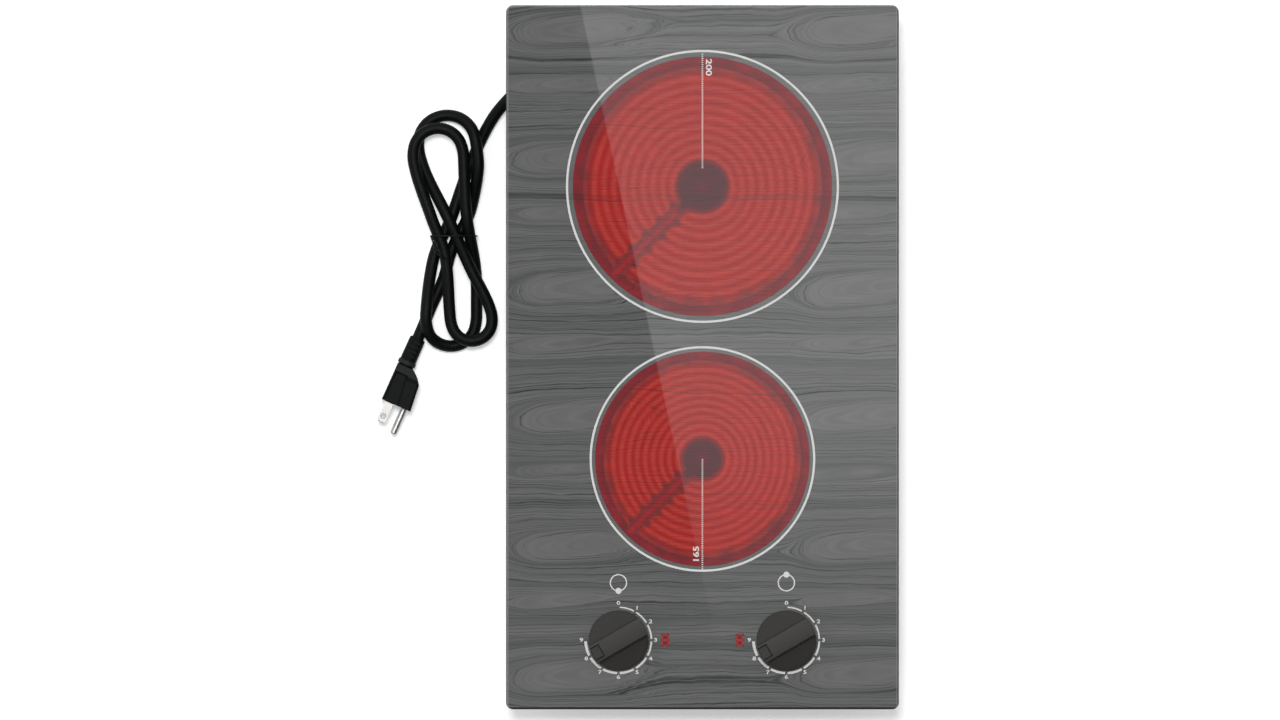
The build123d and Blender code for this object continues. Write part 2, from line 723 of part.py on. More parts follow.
def support_bar(zone):
    """Steel strap folded like an omega, standing on the pan's floor under the heater."""
    y0 = zone["y"] - BAR_WIDTH / 2
    y1 = zone["y"] + BAR_WIDTH / 2
    bar = block(-BAR_LEG_X, BAR_LEG_X, y0, y1, BAR_TOP - BAR_SHEET, BAR_TOP)
    for side in (-1, 1):
        inner, outer = sorted((side * (BAR_LEG_X - BAR_SHEET), side * BAR_LEG_X))
        bar += block(inner, outer, y0, y1, PAN_FLOOR, BAR_TOP)
        inner, outer = sorted((side * (BAR_LEG_X - BAR_SHEET), side * BAR_FOOT_X))
        foot_top = PAN_FLOOR + BAR_SHEET
        bar += block(inner, outer, y0, y1, PAN_FLOOR, foot_top)
        bar -= post(side * BAR_SCREW_X, zone["y"], PAN_FLOOR - OVERCUT, foot_top + OVERCUT, SCREW_HOLE)
    return bar


def support_spring(zone):
    """Bowed leaf between the bar and the dish: an arc through the chord's ends and the rise."""
    bottom = BAR_TOP + SPRING_PLAY
    rise = DISH_BOTTOM - SPRING_PLAY - SPRING_SHEET - bottom
    half = SPRING_CHORD / 2
    lower = ThreePointArc((-half, 0, bottom), (0, 0, bottom + rise), (half, 0, bottom))
    upper = Pos(0, 0, SPRING_SHEET) * lower
    ends = [Line(lower @ 0, upper @ 0), Line(lower @ 1, upper @ 1)]
    leaf = extrude(make_face([lower, upper] + ends), amount=SPRING_WIDTH, dir=(0, 1, 0))
    return Pos(0, zone["y"] - SPRING_WIDTH / 2, 0) * leaf


# Controls

def control_bracket():
    y0 = CONTROL_Y - BRACKET_WIDTH / 2
    y1 = CONTROL_Y + BRACKET_WIDTH / 2
    half = BRACKET_HALF_LENGTH
    bracket = block(-half, half, y0, y1, BRACKET_TOP - BRACKET_SHEET, BRACKET_TOP)
    for side in (-1, 1):
        inner, outer = sorted((side * (half - BRACKET_SHEET), side * half))
        bracket += block(inner, outer, y0, y1, PAN_FLOOR, BRACKET_TOP)
        inner, outer = sorted((side * (half - BRACKET_SHEET), side * (half + BRACKET_FOOT)))
        foot_top = PAN_FLOOR + BRACKET_SHEET
        bracket += block(inner, outer, y0, y1, PAN_FLOOR, foot_top)
        screw_x = side * (half + BRACKET_FOOT / 2)
        bracket -= post(screw_x, CONTROL_Y, PAN_FLOOR - OVERCUT, foot_top + OVERCUT, SCREW_HOLE)
    for x, y in board_hole_places():
        bracket -= post(x, y, BRACKET_TOP - BOARD_SCREW_TIP, BRACKET_TOP + OVERCUT, BOARD_SCREW_HOLE)
    return bracket


def board_hole_places():
    return [(sx * BOARD_HOLE_X, CONTROL_Y + sy * BOARD_HOLE_Y) for sx in (-1, 1) for sy in (-1, 1)]


def control_board():
    half = BOARD_LENGTH / 2
    y0 = CONTROL_Y - BOARD_WIDTH / 2
    top = BOARD_BOTTOM + BOARD_THICKNESS
    board = block(-half, half, y0, y0 + BOARD_WIDTH, BOARD_BOTTOM, top)
    for x, y in board_hole_places():
        board -= post(x, y, BOARD_BOTTOM - OVERCUT, top + OVERCUT, BOARD_SCREW_HOLE)
    return board


def board_spacers():
    spacers = []
    for x, y in board_hole_places():
        spacer = post(x, y, BRACKET_TOP, BOARD_BOTTOM, SPACER_RADIUS)
        spacers.append(spacer - post(x, y, BRACKET_TOP, BOARD_BOTTOM, BOARD_SCREW_HOLE))
    return spacers


def board_screws():
    screws = []
    seat = BOARD_BOTTOM + BOARD_THICKNESS
    for x, y in board_hole_places():
        shank = post(x, y, BRACKET_TOP - BOARD_SCREW_TIP, seat, BOARD_SCREW_RADIUS)
        screws.append(shank + post(x, y, seat, seat + BOARD_SCREW_HEAD, SPACER_RADIUS))
    return screws


def control_body(x):
    """Rotary control on the board, with a plain bore that the shaft turns in."""
    half = CONTROL_SIZE / 2
    bottom = BOARD_BOTTOM + BOARD_THICKNESS
    body = block(x - half, x + half, CONTROL_Y - half, CONTROL_Y + half, bottom, CONTROL_TOP)
    body = chamfer(body.edges().filter_by(Axis.Z), CONTROL_EDGE)
    return body - post(x, CONTROL_Y, SHAFT_BOTTOM - SHAFT_END_PLAY, CONTROL_TOP + OVERCUT, SHAFT_BORE)


def knob_place(x):
    """Place of a knob that was built pointing at the back, turned clockwise to its number."""
    return Pos(x, CONTROL_Y, 0) * Rot(0, 0, -KNOB_TURN)


def shaft_profile(radius, flat, z0, z1):
    """Round rod with one flat at its side."""
    past = radius + OVERCUT
    cut = block(-past, past, flat, past, z0 - OVERCUT, z1 + OVERCUT)
    return post(0, 0, z0, z1, radius) - cut


def control_shaft(x):
    flat_bottom = SHAFT_TOP - SHAFT_FLAT_LENGTH
    round_part = post(0, 0, SHAFT_BOTTOM, flat_bottom, SHAFT_RADIUS)
    return knob_place(x) * (round_part + shaft_profile(SHAFT_RADIUS, SHAFT_FLAT, flat_bottom, SHAFT_TOP))


def knob_seal(x):
    """Silicone sleeve in the glass hole with a flange under the glass."""
    bottom = GLASS_BOTTOM - SEAL_FLANGE_THICKNESS
    flange = post(x, CONTROL_Y, bottom, GLASS_BOTTOM, SEAL_FLANGE_RADIUS)
    sleeve = post(x, CONTROL_Y, GLASS_BOTTOM, GLASS_TOP, SHAFT_HOLE_RADIUS)
    bore = post(x, CONTROL_Y, bottom - OVERCUT, GLASS_TOP + OVERCUT, SEAL_BORE)
    return flange + sleeve - bore


def marker_block(margin, z0, z1):
    """Marker's box at the pointing end of the bar, out past the rim, its other sides grown by a margin."""
    half = MARKER_WIDTH / 2 + margin
    return block(-half, half, MARKER_INNER - margin, KNOB_RADIUS + OVERCUT, z0, z1)


def knob(x):
    """Round skirt sloping down from a raised bar with drafted walls and a crowned top, hollow below,
    with a D bore."""
    top_half = KNOB_BAR_WIDTH / 2
    foot_half = top_half + KNOB_BAR_DRAFT
    fall = KNOB_SKIRT_INNER - KNOB_SKIRT_OUTER
    reach = KNOB_RADIUS - foot_half
    skirt = post(0, 0, KNOB_BOTTOM, KNOB_SKIRT_INNER, KNOB_RADIUS)
    for side in (-1, 1):
        wedge = Polyline(
            (side * foot_half, 0, KNOB_SKIRT_INNER),
            (side * (KNOB_RADIUS + reach), 0, KNOB_SKIRT_INNER - 2 * fall),
            (side * (KNOB_RADIUS + reach), 0, KNOB_SKIRT_INNER),
            close=True,
        )
        cutter = extrude(make_face(wedge), amount=4 * KNOB_RADIUS, dir=(0, 1, 0))
        skirt -= Pos(0, -2 * KNOB_RADIUS, 0) * cutter
    rims = skirt.edges().filter_by(lambda e: e.geom_type != GeomType.LINE and e.center().Z > KNOB_BOTTOM)
    skirt = fillet(rims, KNOB_SKIRT_EDGE)
    shoulder = KNOB_TOP - KNOB_BAR_CROWN
    sides = Polyline(
        (-top_half, 0, shoulder),
        (-foot_half, 0, KNOB_SKIRT_INNER),
        (-foot_half, 0, KNOB_BOTTOM),
        (foot_half, 0, KNOB_BOTTOM),
        (foot_half, 0, KNOB_SKIRT_INNER),
        (top_half, 0, shoulder),
    )
    crown = ThreePointArc((top_half, 0, shoulder), (0, 0, KNOB_TOP), (-top_half, 0, shoulder))
    section = make_face([crown] + list(sides.edges()))
    bar = Pos(0, -KNOB_RADIUS, 0) * extrude(section, amount=2 * KNOB_RADIUS, dir=(0, 1, 0))
    bar &= post(0, 0, KNOB_BOTTOM, KNOB_TOP, KNOB_RADIUS)
    bar = fillet(bar.faces().sort_by(Axis.Z)[-1].edges(), KNOB_EDGE)
    pocket = post(0, 0, KNOB_BOTTOM, KNOB_POCKET_TOP, KNOB_POCKET_RADIUS)
    pocket -= post(0, 0, KNOB_BOTTOM, KNOB_POCKET_TOP, KNOB_HUB_RADIUS)
    play = SHAFT_BORE - SHAFT_RADIUS
    flat_bottom = SHAFT_TOP - SHAFT_FLAT_LENGTH
    bore = post(0, 0, KNOB_BOTTOM, flat_bottom, SHAFT_BORE)
    bore += shaft_profile(SHAFT_BORE, SHAFT_FLAT + play, flat_bottom, KNOB_BORE_TOP)
    recess = marker_block(MARKER_GROOVE, KNOB_TOP - MARKER_DEPTH, KNOB_TOP + OVERCUT)
    return knob_place(x) * (skirt + bar - pocket - bore - recess)


def knob_marker(x):
    """Insert at the pointing end of the bar, with a narrow groove on three sides."""
    insert = marker_block(0, KNOB_TOP - MARKER_DEPTH, KNOB_TOP - MARKER_SINK)
    outline = post(0, 0, KNOB_BOTTOM, KNOB_TOP, KNOB_RADIUS - MARKER_RIM)
    return knob_place(x) * (insert & outline)


def knob_clip(x):
    """Open spring ring round the knob's hub."""
    inner = KNOB_HUB_RADIUS + CLIP_PLAY
    ring = post(0, 0, CLIP_BOTTOM, CLIP_TOP, inner + CLIP_THICKNESS)
    ring -= post(0, 0, CLIP_BOTTOM, CLIP_TOP, inner)
    half = CLIP_OPENING / 2
    opening = block(-half, half, 0, 2 * inner, CLIP_BOTTOM - OVERCUT, CLIP_TOP + OVERCUT)
    return knob_place(x) * (ring - opening)


def boxed_part(x, bottom, size, edge):
    """Moulded component of the two boards, in line with the controls, with chamfered corners."""
    width, depth, height = size
    y = CONTROL_Y
    body = block(x - width / 2, x + width / 2, y - depth / 2, y + depth / 2, bottom, bottom + height)
    return chamfer(body.edges().filter_by(Axis.Z), edge)


def digit_display(x):
    bottom = BOARD_BOTTOM + BOARD_THICKNESS
    return boxed_part(x, bottom, (DISPLAY_WIDTH, DISPLAY_DEPTH, DISPLAY_TOP - bottom), DISPLAY_EDGE)


def digit_segments(x):
    """Seven lit bars with pointed ends, three across and four upright."""
    reach_x = (DIGIT_WIDTH - DIGIT_BAR) / 2
    reach_y = (DIGIT_HEIGHT - DIGIT_BAR) / 2
    bars = []
    places = [(0, row * reach_y, 0, 2 * reach_x) for row in (-1, 0, 1)]
    places += [(side * reach_x, row * reach_y / 2, 90, reach_y) for side in (-1, 1) for row in (-1, 1)]
    for dx, dy, turn, length in places:
        half = length / 2 - DIGIT_TRIM
        slope = DIGIT_BAR / 2
        outline = (
            (-half, 0),
            (slope - half, slope),
            (half - slope, slope),
            (half, 0),
            (half - slope, -slope),
            (slope - half, -slope),
        )
        bar = extrude(make_face(Polyline(*outline, close=True)), amount=DIGIT_THICKNESS)
        bars.append(Pos(x + dx, CONTROL_Y + dy, DISPLAY_TOP) * Rot(0, 0, turn) * bar)
    return bars


# Power electronics and wires

def power_hole_places():
    xs = (POWER_BOARD_X - POWER_HOLE_X, POWER_BOARD_X + POWER_HOLE_X)
    return [(x, CONTROL_Y + side * POWER_HOLE_Y) for x in xs for side in (-1, 1)]


def power_board():
    x0 = POWER_BOARD_X - POWER_BOARD_LENGTH / 2
    y0 = CONTROL_Y - POWER_BOARD_WIDTH / 2
    top = POWER_BOARD_BOTTOM + BOARD_THICKNESS
    board = block(x0, x0 + POWER_BOARD_LENGTH, y0, y0 + POWER_BOARD_WIDTH, POWER_BOARD_BOTTOM, top)
    for x, y in power_hole_places():
        board -= post(x, y, POWER_BOARD_BOTTOM - OVERCUT, top + OVERCUT, BOARD_SCREW_HOLE)
    return board


def power_standoffs():
    standoffs = []
    for x, y in power_hole_places():
        leg = post(x, y, PAN_FLOOR, POWER_BOARD_BOTTOM, STANDOFF_RADIUS)
        standoffs.append(leg + post(x, y, PAN_FLOOR, STANDOFF_PIN_TOP, STANDOFF_PIN))
    return standoffs


def terminal_block():
    width, depth, height = TERMINAL_SIZE
    top = PAN_FLOOR + height
    x0 = TERMINAL_X - width / 2
    y0 = TERMINAL_Y - depth / 2
    body = block(x0, x0 + width, y0, y0 + depth, PAN_FLOOR, top)
    for number in (-1, 0, 1):
        x = TERMINAL_X + number * TERMINAL_PITCH
        body -= post(x, TERMINAL_Y, top - TERMINAL_WELL_DEPTH, top + OVERCUT, TERMINAL_WELL)
    return body


def cord_cores():
    """Three cores from the bushing to the terminal block's near face."""
    inner = Vector(BUSHING_WALL) - Vector(BUSHING_DIRECTION) * BUSHING_INSIDE
    sideways = Vector(BUSHING_DIRECTION[1], -BUSHING_DIRECTION[0], 0)
    face = TERMINAL_X - TERMINAL_SIZE[0] / 2
    wires = []
    for number in (-1, 0, 1):
        start = inner + sideways * (CORE_SPREAD * number)
        onward = start - Vector(BUSHING_DIRECTION) * WIRE_STUB
        end = Vector(face, TERMINAL_Y + CORE_OFFSET - CORE_PITCH * number, CORE_HEIGHT)
        before = end - Vector(WIRE_STUB, 0, 0)
        wires.append(wire_run([tuple(start), tuple(onward), tuple(before), tuple(end)]))
    return wires


def supply_wires():
    """Two cores along the left wall from the terminal block to the power board."""
    wires = []
    board_top = POWER_BOARD_BOTTOM + BOARD_THICKNESS
    start_y = TERMINAL_Y - TERMINAL_SIZE[1] / 2
    for number in (0, 1):
        column = SUPPLY_COLUMN - WIRE_PITCH * number
        shift = SUPPLY_PITCH * number
        start_x = SUPPLY_TERMINAL_X + shift
        landing_x = SUPPLY_LANDING[0]
        landing_y = SUPPLY_LANDING[1] - shift
        points = [
            (start_x, start_y, SUPPLY_START_HEIGHT),
            (start_x, start_y - SUPPLY_FIRST_RUN - shift, SUPPLY_START_HEIGHT),
        ]
        points += [(column + dx, y, z) for dx, y, z in SUPPLY_WAYPOINTS]
        points += [
            (SUPPLY_CORNER[0], SUPPLY_CORNER[1] - shift, SUPPLY_HIGH),
            (landing_x + SUPPLY_APPROACH[0], landing_y + SUPPLY_APPROACH[1], SUPPLY_HIGH),
            (landing_x, landing_y, board_top + WIRE_STUB),
            (landing_x, landing_y, board_top),
        ]
        wires.append(wire_run(points))
    return wires


def heater_wires():
    """Two wires from each heater's tabs, under the control bracket to the power board."""
    wires = []
    board_top = POWER_BOARD_BOTTOM + BOARD_THICKNESS
    tab_height = TAB_BOTTOM + TAB_WIDTH / 2
    for order, zone in enumerate(ZONES.values()):
        plane = limiter_plane(zone)
        radius = zone["dish"] + SWITCH_GAP + SWITCH_LENGTH + TAB_LENGTH
        inward = HEATER_ZONE_PITCH * order
        for number, side in enumerate((-1, 1)):
            shift = WIRE_PITCH * number
            tab = plane.from_local_coords((radius, side * TAB_OFFSET, tab_height))
            onward = plane.from_local_coords((radius + HEATER_TAB_RUN, side * TAB_OFFSET, tab_height))
            column = HEATER_COLUMN + shift + inward
            landing_x = HEATER_LANDING[0] + HEATER_LANDING_PITCH * (number + 2 * order)
            landing_y = HEATER_LANDING[1] - inward
            points = [tuple(tab), tuple(onward)]
            if order == 0:
                points.append((column, onward.Y - HEATER_FIRST_DROP, HEATER_HEIGHT))
                points += [(column + dx, y, z) for dx, y, z in HEATER_WAYPOINTS]
            points += [
                (column + HEATER_CORNER[0], HEATER_CORNER[1] - shift, HEATER_CROSSING_HEIGHT),
                (landing_x + HEATER_CROSSING[0], HEATER_CROSSING[1] - shift - inward, HEATER_CROSSING_HEIGHT),
                (landing_x + HEATER_APPROACH[0], HEATER_APPROACH[1] - inward, HEATER_APPROACH[2]),
                (landing_x, landing_y, board_top + WIRE_STUB),
                (landing_x, landing_y, board_top),
            ]
            wires.append(wire_run(points))
    return wires


# Mains cord, hank, tie and plug

def bushing_stem(radius):
    """Round stem through the pan's wall, along the slanted exit."""
    wall = Vector(BUSHING_WALL)
    out = Vector(BUSHING_DIRECTION)
    return rod(wall - out * BUSHING_INSIDE, wall + out * BUSHING_STEM_OUTSIDE, radius)


def cord_bushing():
    """Slanted strain relief: a plate on the wall, a stem inside and a tapered nose outside."""
    wall = Vector(BUSHING_WALL)
    out = Vector(BUSHING_DIRECTION)
    half = BUSHING_PLATE_HALF
    y0 = wall.Y - half - BUSHING_PLATE_EXTRA
    plate = block(wall.X - BUSHING_PLATE, wall.X, y0, wall.Y + half, wall.Z - half, wall.Z + half)
    nose = rod(wall, wall + out * BUSHING_OUTSIDE, BUSHING_RADIUS + BUSHING_COLLAR, BUSHING_TIP_RADIUS)
    inside = block(wall.X, 0, -PAN_DEPTH, PAN_DEPTH, 0, GLASS_BOTTOM)
    return plate + (nose - inside) + bushing_stem(BUSHING_RADIUS)


def lobe_stations(lobe):
    """Points and headings at the start, middle and end of a lobe's arc."""
    centre_x, centre_y, radius, start, sweep_angle, heights = lobe
    sense = 1 if sweep_angle > 0 else -1
    stations = []
    for number, height in enumerate(heights):
        angle = radians(start + sweep_angle * number / 2)
        point = Vector(centre_x + radius * cos(angle), centre_y + radius * sin(angle), height)
        stations.append((point, Vector(-sin(angle), cos(angle), 0) * sense))
    return stations


def hank_ends():
    """Where the hank's bends begin and end: one cord diameter along from the lead and before the tail."""
    lead_heading = (Vector(LEAD_POINTS[-1]) - Vector(LEAD_POINTS[-2])).normalized()
    tail_heading = (Vector(TAIL_POINTS[1]) - Vector(TAIL_POINTS[0])).normalized()
    first = Vector(LEAD_POINTS[-1]) + lead_heading * CORD_DIAMETER
    last = Vector(TAIL_POINTS[0]) - tail_heading * CORD_DIAMETER
    return (first, lead_heading), (last, tail_heading)


def hank_stations():
    """Strand, lobe, strand and so on; a strand's heading at a point runs level between its neighbours."""
    first, last = hank_ends()
    stations = [first]
    for number, strand in enumerate(HANK_STRANDS):
        stations += [(Vector(point), None) for point in strand]
        if number < len(HANK_LOBES):
            stations += lobe_stations(HANK_LOBES[number])
    stations.append(last)
    filled = []
    for number, (point, heading) in enumerate(stations):
        if heading is None:
            step = stations[number + 1][0] - stations[number - 1][0]
            heading = Vector(step.X, step.Y, 0).normalized()
        filled.append((point, heading))
    return filled


def cord_hank():
    """The tied figure-eight as one unbroken tube on biarcs."""
    stations = hank_stations()
    edges = [Line(LEAD_POINTS[-1], stations[0][0])]
    for (start, heading), (end, end_heading) in zip(stations, stations[1:]):
        edges += biarc_edges(start, heading, end, end_heading)
    edges.append(Line(stations[-1][0], TAIL_POINTS[0]))
    path = Wire(edges)
    tube = tube_along(path, CORD_RADIUS)
    share = tube.volume / (np.pi * CORD_RADIUS**2 * path.length)
    radii = [edge.radius for edge in path.edges().filter_by(GeomType.CIRCLE)]
    print(f"cord_hank: length {path.length:.1f}, least radius {min(radii):.1f}, volume share {share:.4f}, "
          f"least gap {least_gap(path, CORD_DIAMETER):.2f}")
    return tube


def cord_tie():
    """Thin wire round the waist, and its two loose ends lying over the strands."""
    loop = FilletPolyline(*[(x, TIE_Y, z) for x, z in TIE_OUTLINE], radius=TIE_CORNER, close=True)
    ring = tube_along(loop, TIE_WIRE)
    return [ring] + [wire_run(points, TIE_WIRE) for points in TIE_ENDS]


def plug_plane():
    """Plane on the plug's axis: X from the cord to the blades, Y across to the earth pin, Z up."""
    return Plane(
        origin=(PLUG_ORIGIN[0], PLUG_ORIGIN[1], PLUG_AXIS_HEIGHT),
        x_dir=(PLUG_DIRECTION[0], PLUG_DIRECTION[1], 0),
        z_dir=(0, 0, 1),
    )


def plug_body():
    """Moulded body, its raised panels, collar and slotted boot in one piece."""
    shoulder = ThreePointArc(PLUG_NECK_RIGHT, PLUG_SHOULDER_MIDDLE, PLUG_SHOULDER)
    rest = Polyline(
        PLUG_SHOULDER,
        (PLUG_FACE, PLUG_RIGHT),
        (PLUG_FACE, PLUG_LEFT),
        (NECK_END, PLUG_LEFT),
        PLUG_NECK_RIGHT,
    )
    plan = make_face([shoulder] + list(rest.edges()))
    thick = 2 * PLUG_HALF_THICKNESS
    body = Pos(0, 0, -PLUG_HALF_THICKNESS) * extrude(plan, amount=thick)
    rims = body.edges().filter_by(lambda e: abs(e.center().Z) > 1 and NECK_END < e.center().X < PLUG_FACE)
    body = fillet(rims, PLUG_EDGE)
    profile = Polyline(
        (NECK_END, 0, PLUG_NECK_HALF_THICKNESS),
        (PLUG_TAPER_END, 0, PLUG_HALF_THICKNESS),
        (PLUG_FACE, 0, PLUG_HALF_THICKNESS),
        (PLUG_FACE, 0, -PLUG_HALF_THICKNESS),
        (PLUG_TAPER_END, 0, -PLUG_HALF_THICKNESS),
        (NECK_END, 0, -PLUG_NECK_HALF_THICKNESS),
        close=True,
    )
    across = 2 * (PLUG_RIGHT - PLUG_LEFT)
    body &= Pos(0, 2 * PLUG_LEFT, 0) * extrude(make_face(profile), amount=across, dir=(0, 1, 0))
    panel = Pos(0, 0, -PLUG_HALF_THICKNESS - PANEL_HEIGHT) * extrude(
        make_face(FilletPolyline(*PANEL_OUTLINE, radius=PANEL_CORNER, close=True)),
        amount=thick + 2 * PANEL_HEIGHT,
    )
    body += panel
    body += rod((COLLAR_END, 0, 0), (NECK_END, 0, 0), NECK_RADIUS)
    body += rod((BOOT_LENGTH, 0, 0), (COLLAR_END, 0, 0), COLLAR_RADIUS)
    drop = PLUG_CORD_HEIGHT - PLUG_AXIS_HEIGHT
    boot = rod((0, 0, drop), (BOOT_LENGTH + BOOT_OVERLAP, 0, 0), BOOT_RADIUS, BOOT_END_RADIUS)
    length, width, depth = BOOT_SLOT_SIZE
    for number in range(BOOT_SLOTS):
        along = BOOT_SLOT_START + number * BOOT_SLOT_PITCH
        centre = drop * (1 - along / BOOT_LENGTH)
        for side_sign in (-1, 1):
            reach = BOOT_RADIUS - depth / 2 + BOOT_SLOT_PROUD
            boot -= Pos(along, 0, centre + side_sign * reach) * Box(length, width, depth)
    return plug_plane() * (body + boot)


def plug_blades():
    """Two flat blades, one above the other as the plug lies, each with a hole near its rounded tip."""
    blades = []
    half = BLADE_WIDTH / 2
    for side in (-1, 1):
        bottom = (side * BLADE_SPACING - BLADE_THICKNESS) / 2
        top = bottom + BLADE_THICKNESS
        blade = block(PLUG_FACE, PLUG_FACE + BLADE_LENGTH, -half, half, bottom, top)
        tip = blade.edges().filter_by(Axis.Z).sort_by(Axis.X)[-2:]
        blade = chamfer(tip, BLADE_TIP_EDGE)
        hole_x = PLUG_FACE + BLADE_LENGTH - BLADE_HOLE_FROM_TIP
        blade -= post(hole_x, 0, bottom - OVERCUT, top + OVERCUT, BLADE_HOLE_RADIUS)
        blades.append(plug_plane() * blade)
    return blades


def plug_earth_pin():
    pin = rod((PLUG_FACE, EARTH_OFFSET, 0), (PLUG_FACE + EARTH_LENGTH, EARTH_OFFSET, 0), EARTH_RADIUS)
    return plug_plane() * chamfer(pin.edges().sort_by(Axis.X)[-1], EARTH_TIP_EDGE)


def all_nodes():
    """Every node's name with its solid or group of solids."""
    board_top = POWER_BOARD_BOTTOM + BOARD_THICKNESS
    nodes = {
        "glass_top": glass_top(),
        "glass_seal": glass_seal(),
        "glass_frame": glass_frame(),
        "base_pan": base_pan(),
        "frame_screws": [
            frame_screw(place, outward, SCREW_RADIUS, SCREW_HEAD_RADIUS)
            for place, outward in frame_screw_places()
        ],
        "floor_screws": floor_screws(),
        "control_bracket": control_bracket(),
        "control_board": control_board(),
        "board_spacers": board_spacers() + power_standoffs(),
        "board_screws": board_screws(),
        "power_board": power_board(),
        "power_relays": [boxed_part(x, board_top, RELAY_SIZE, RELAY_EDGE) for x in RELAY_X],
        "power_transformer": boxed_part(TRANSFORMER_X, board_top, TRANSFORMER_SIZE, TRANSFORMER_EDGE),
        "terminal_block": terminal_block(),
        "mains_wires": cord_cores() + supply_wires(),
        "heater_wires": heater_wires(),
        "heater_terminals": [tab for zone in ZONES.values() for tab in heater_tabs(zone)],
        "support_springs": [support_spring(zone) for zone in ZONES.values()],
        "knob_seals": [knob_seal(side * CONTROL_X) for side in (-1, 1)],
        "cord_bushing": cord_bushing(),
        "cord_lead": cord_tube("cord_lead", LEAD_POINTS, CORD_RADIUS),
        "cord_hank": cord_hank(),
        "cord_tail": cord_tube("cord_tail", TAIL_POINTS, CORD_RADIUS),
        "cord_tie": cord_tie(),
        "plug_body": plug_body(),
        "plug_blades": plug_blades(),
        "plug_earth_pin": plug_earth_pin(),
    }
    for corner, (x, y) in foot_places().items():
        nodes[f"foot_{corner}"] = foot(x, y)
    for name, zone in ZONES.items():
        nodes[f"heater_dish_{name}"] = heater_dish(zone)
        nodes[f"insulation_base_{name}"] = insulation_base(zone)
        nodes[f"insulation_ring_{name}"] = insulation_ring(zone)
        nodes[f"heating_ribbon_{name}"] = heating_ribbon(f"heating_ribbon_{name}", zone)
        nodes[f"limiter_tube_{name}"] = limiter_tube(zone)
        nodes[f"limiter_switch_{name}"] = limiter_switch(zone)
        nodes[f"support_bar_{name}"] = support_bar(zone)
    for name, side in (("left", -1), ("right", 1)):
        x = side * CONTROL_X
        nodes[f"control_body_{name}"] = control_body(x)
        nodes[f"control_shaft_{name}"] = control_shaft(x)
        nodes[f"knob_{name}"] = knob(x)
        nodes[f"knob_marker_{name}"] = knob_marker(x)
        nodes[f"knob_clip_{name}"] = knob_clip(x)
        nodes[f"digit_display_{name}"] = digit_display(side * DIGIT_X)
        nodes[f"digit_segments_{name}"] = digit_segments(side * DIGIT_X)
    return nodes


os.makedirs("parts", exist_ok=True)
for node_name, shape in all_nodes().items():
    if isinstance(shape, list):
        shape = Compound(children=[Part() + piece for piece in shape])
    export_step(shape, f"parts/{node_name}.step")
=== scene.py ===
import math
from typing import NamedTuple

import bmesh
import bpy
import numpy as np
from mathutils import Matrix, Vector


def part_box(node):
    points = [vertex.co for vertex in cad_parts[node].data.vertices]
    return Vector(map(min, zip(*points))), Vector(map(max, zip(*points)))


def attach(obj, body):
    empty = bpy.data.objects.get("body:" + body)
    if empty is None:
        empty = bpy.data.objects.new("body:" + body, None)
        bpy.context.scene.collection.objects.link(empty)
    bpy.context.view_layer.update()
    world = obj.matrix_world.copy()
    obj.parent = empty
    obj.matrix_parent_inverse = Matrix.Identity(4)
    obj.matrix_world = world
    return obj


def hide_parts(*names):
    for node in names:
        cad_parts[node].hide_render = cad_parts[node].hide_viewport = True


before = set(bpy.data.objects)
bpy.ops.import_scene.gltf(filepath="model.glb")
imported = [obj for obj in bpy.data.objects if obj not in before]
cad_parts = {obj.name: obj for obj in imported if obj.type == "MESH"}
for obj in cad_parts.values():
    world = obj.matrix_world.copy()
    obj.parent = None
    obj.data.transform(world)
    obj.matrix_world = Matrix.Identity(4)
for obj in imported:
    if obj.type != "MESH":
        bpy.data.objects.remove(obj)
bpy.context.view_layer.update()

bl_info = {
    "name": "Ceramic cooktop",
    "version": (1, 0, 0),
    "blender": (4, 5, 0),
    "location": "3D View > Sidebar > Cooktop",
    "description": "Dresses a two-zone ceramic cooktop and sets up its studio",
    "category": "Object",
}

MM = 0.001


def middle(node_name):
    """Centre of a CAD node's box."""
    low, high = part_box(node_name)
    return (low + high) / 2


class Zone(NamedTuple):
    """One heater: its name, the radii of its printed ring, glow and hub, and its ribbon's first radius,
    pitch, number of turns and half the gap that it leaves for the limiter."""

    name: str
    ring: float
    glow: float
    hub: float
    first_turn: float
    pitch: float
    turns: int
    gap_half: float

    @property
    def centre(self):
        return middle("insulation_base_" + self.name)


ZONES = (
    Zone("rear", 100 * MM, 95 * MM, 20 * MM, 22.2 * MM, 7.22 * MM, 9, 9.5 * MM),
    Zone("front", 82.5 * MM, 78.5 * MM, 15.75 * MM, 18.7 * MM, 5.92 * MM, 9, 8.0 * MM),
)
SIDES = ("left", "right")
LIMITER_ANGLE = math.radians(225)
GLASS_LOW, GLASS_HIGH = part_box("glass_top")
GLASS_MIDDLE = (GLASS_LOW + GLASS_HIGH) / 2
GLASS_HALF = (GLASS_HIGH - GLASS_LOW) / 2

# Cord route in millimetres: lead from the bushing, figure-eight hank, tail into the plug's boot.
CORD_LOW = 4.45
CORD_HIGH = 14.3
TIE_LIFT = 1.9
WAIST_LOW = CORD_LOW + TIE_LIFT
WAIST_HIGH = CORD_HIGH + TIE_LIFT
LEAD_POINTS = (
    (-140.494, 193.506, 14.403),
    (-150.056, 183.944, 10.779),
    (-158.6, 170.6, 6.2),
    (-165.2, 157.2, CORD_LOW),
    (-170.3, 144.9, CORD_LOW),
)
TAIL_POINTS = (
    (-195.4, 48.1, CORD_LOW),
    (-200.8, 36.5, CORD_LOW),
    (-206.442, 22.146, 4.598),
    (-210.4, 13.29, 6.8),
)
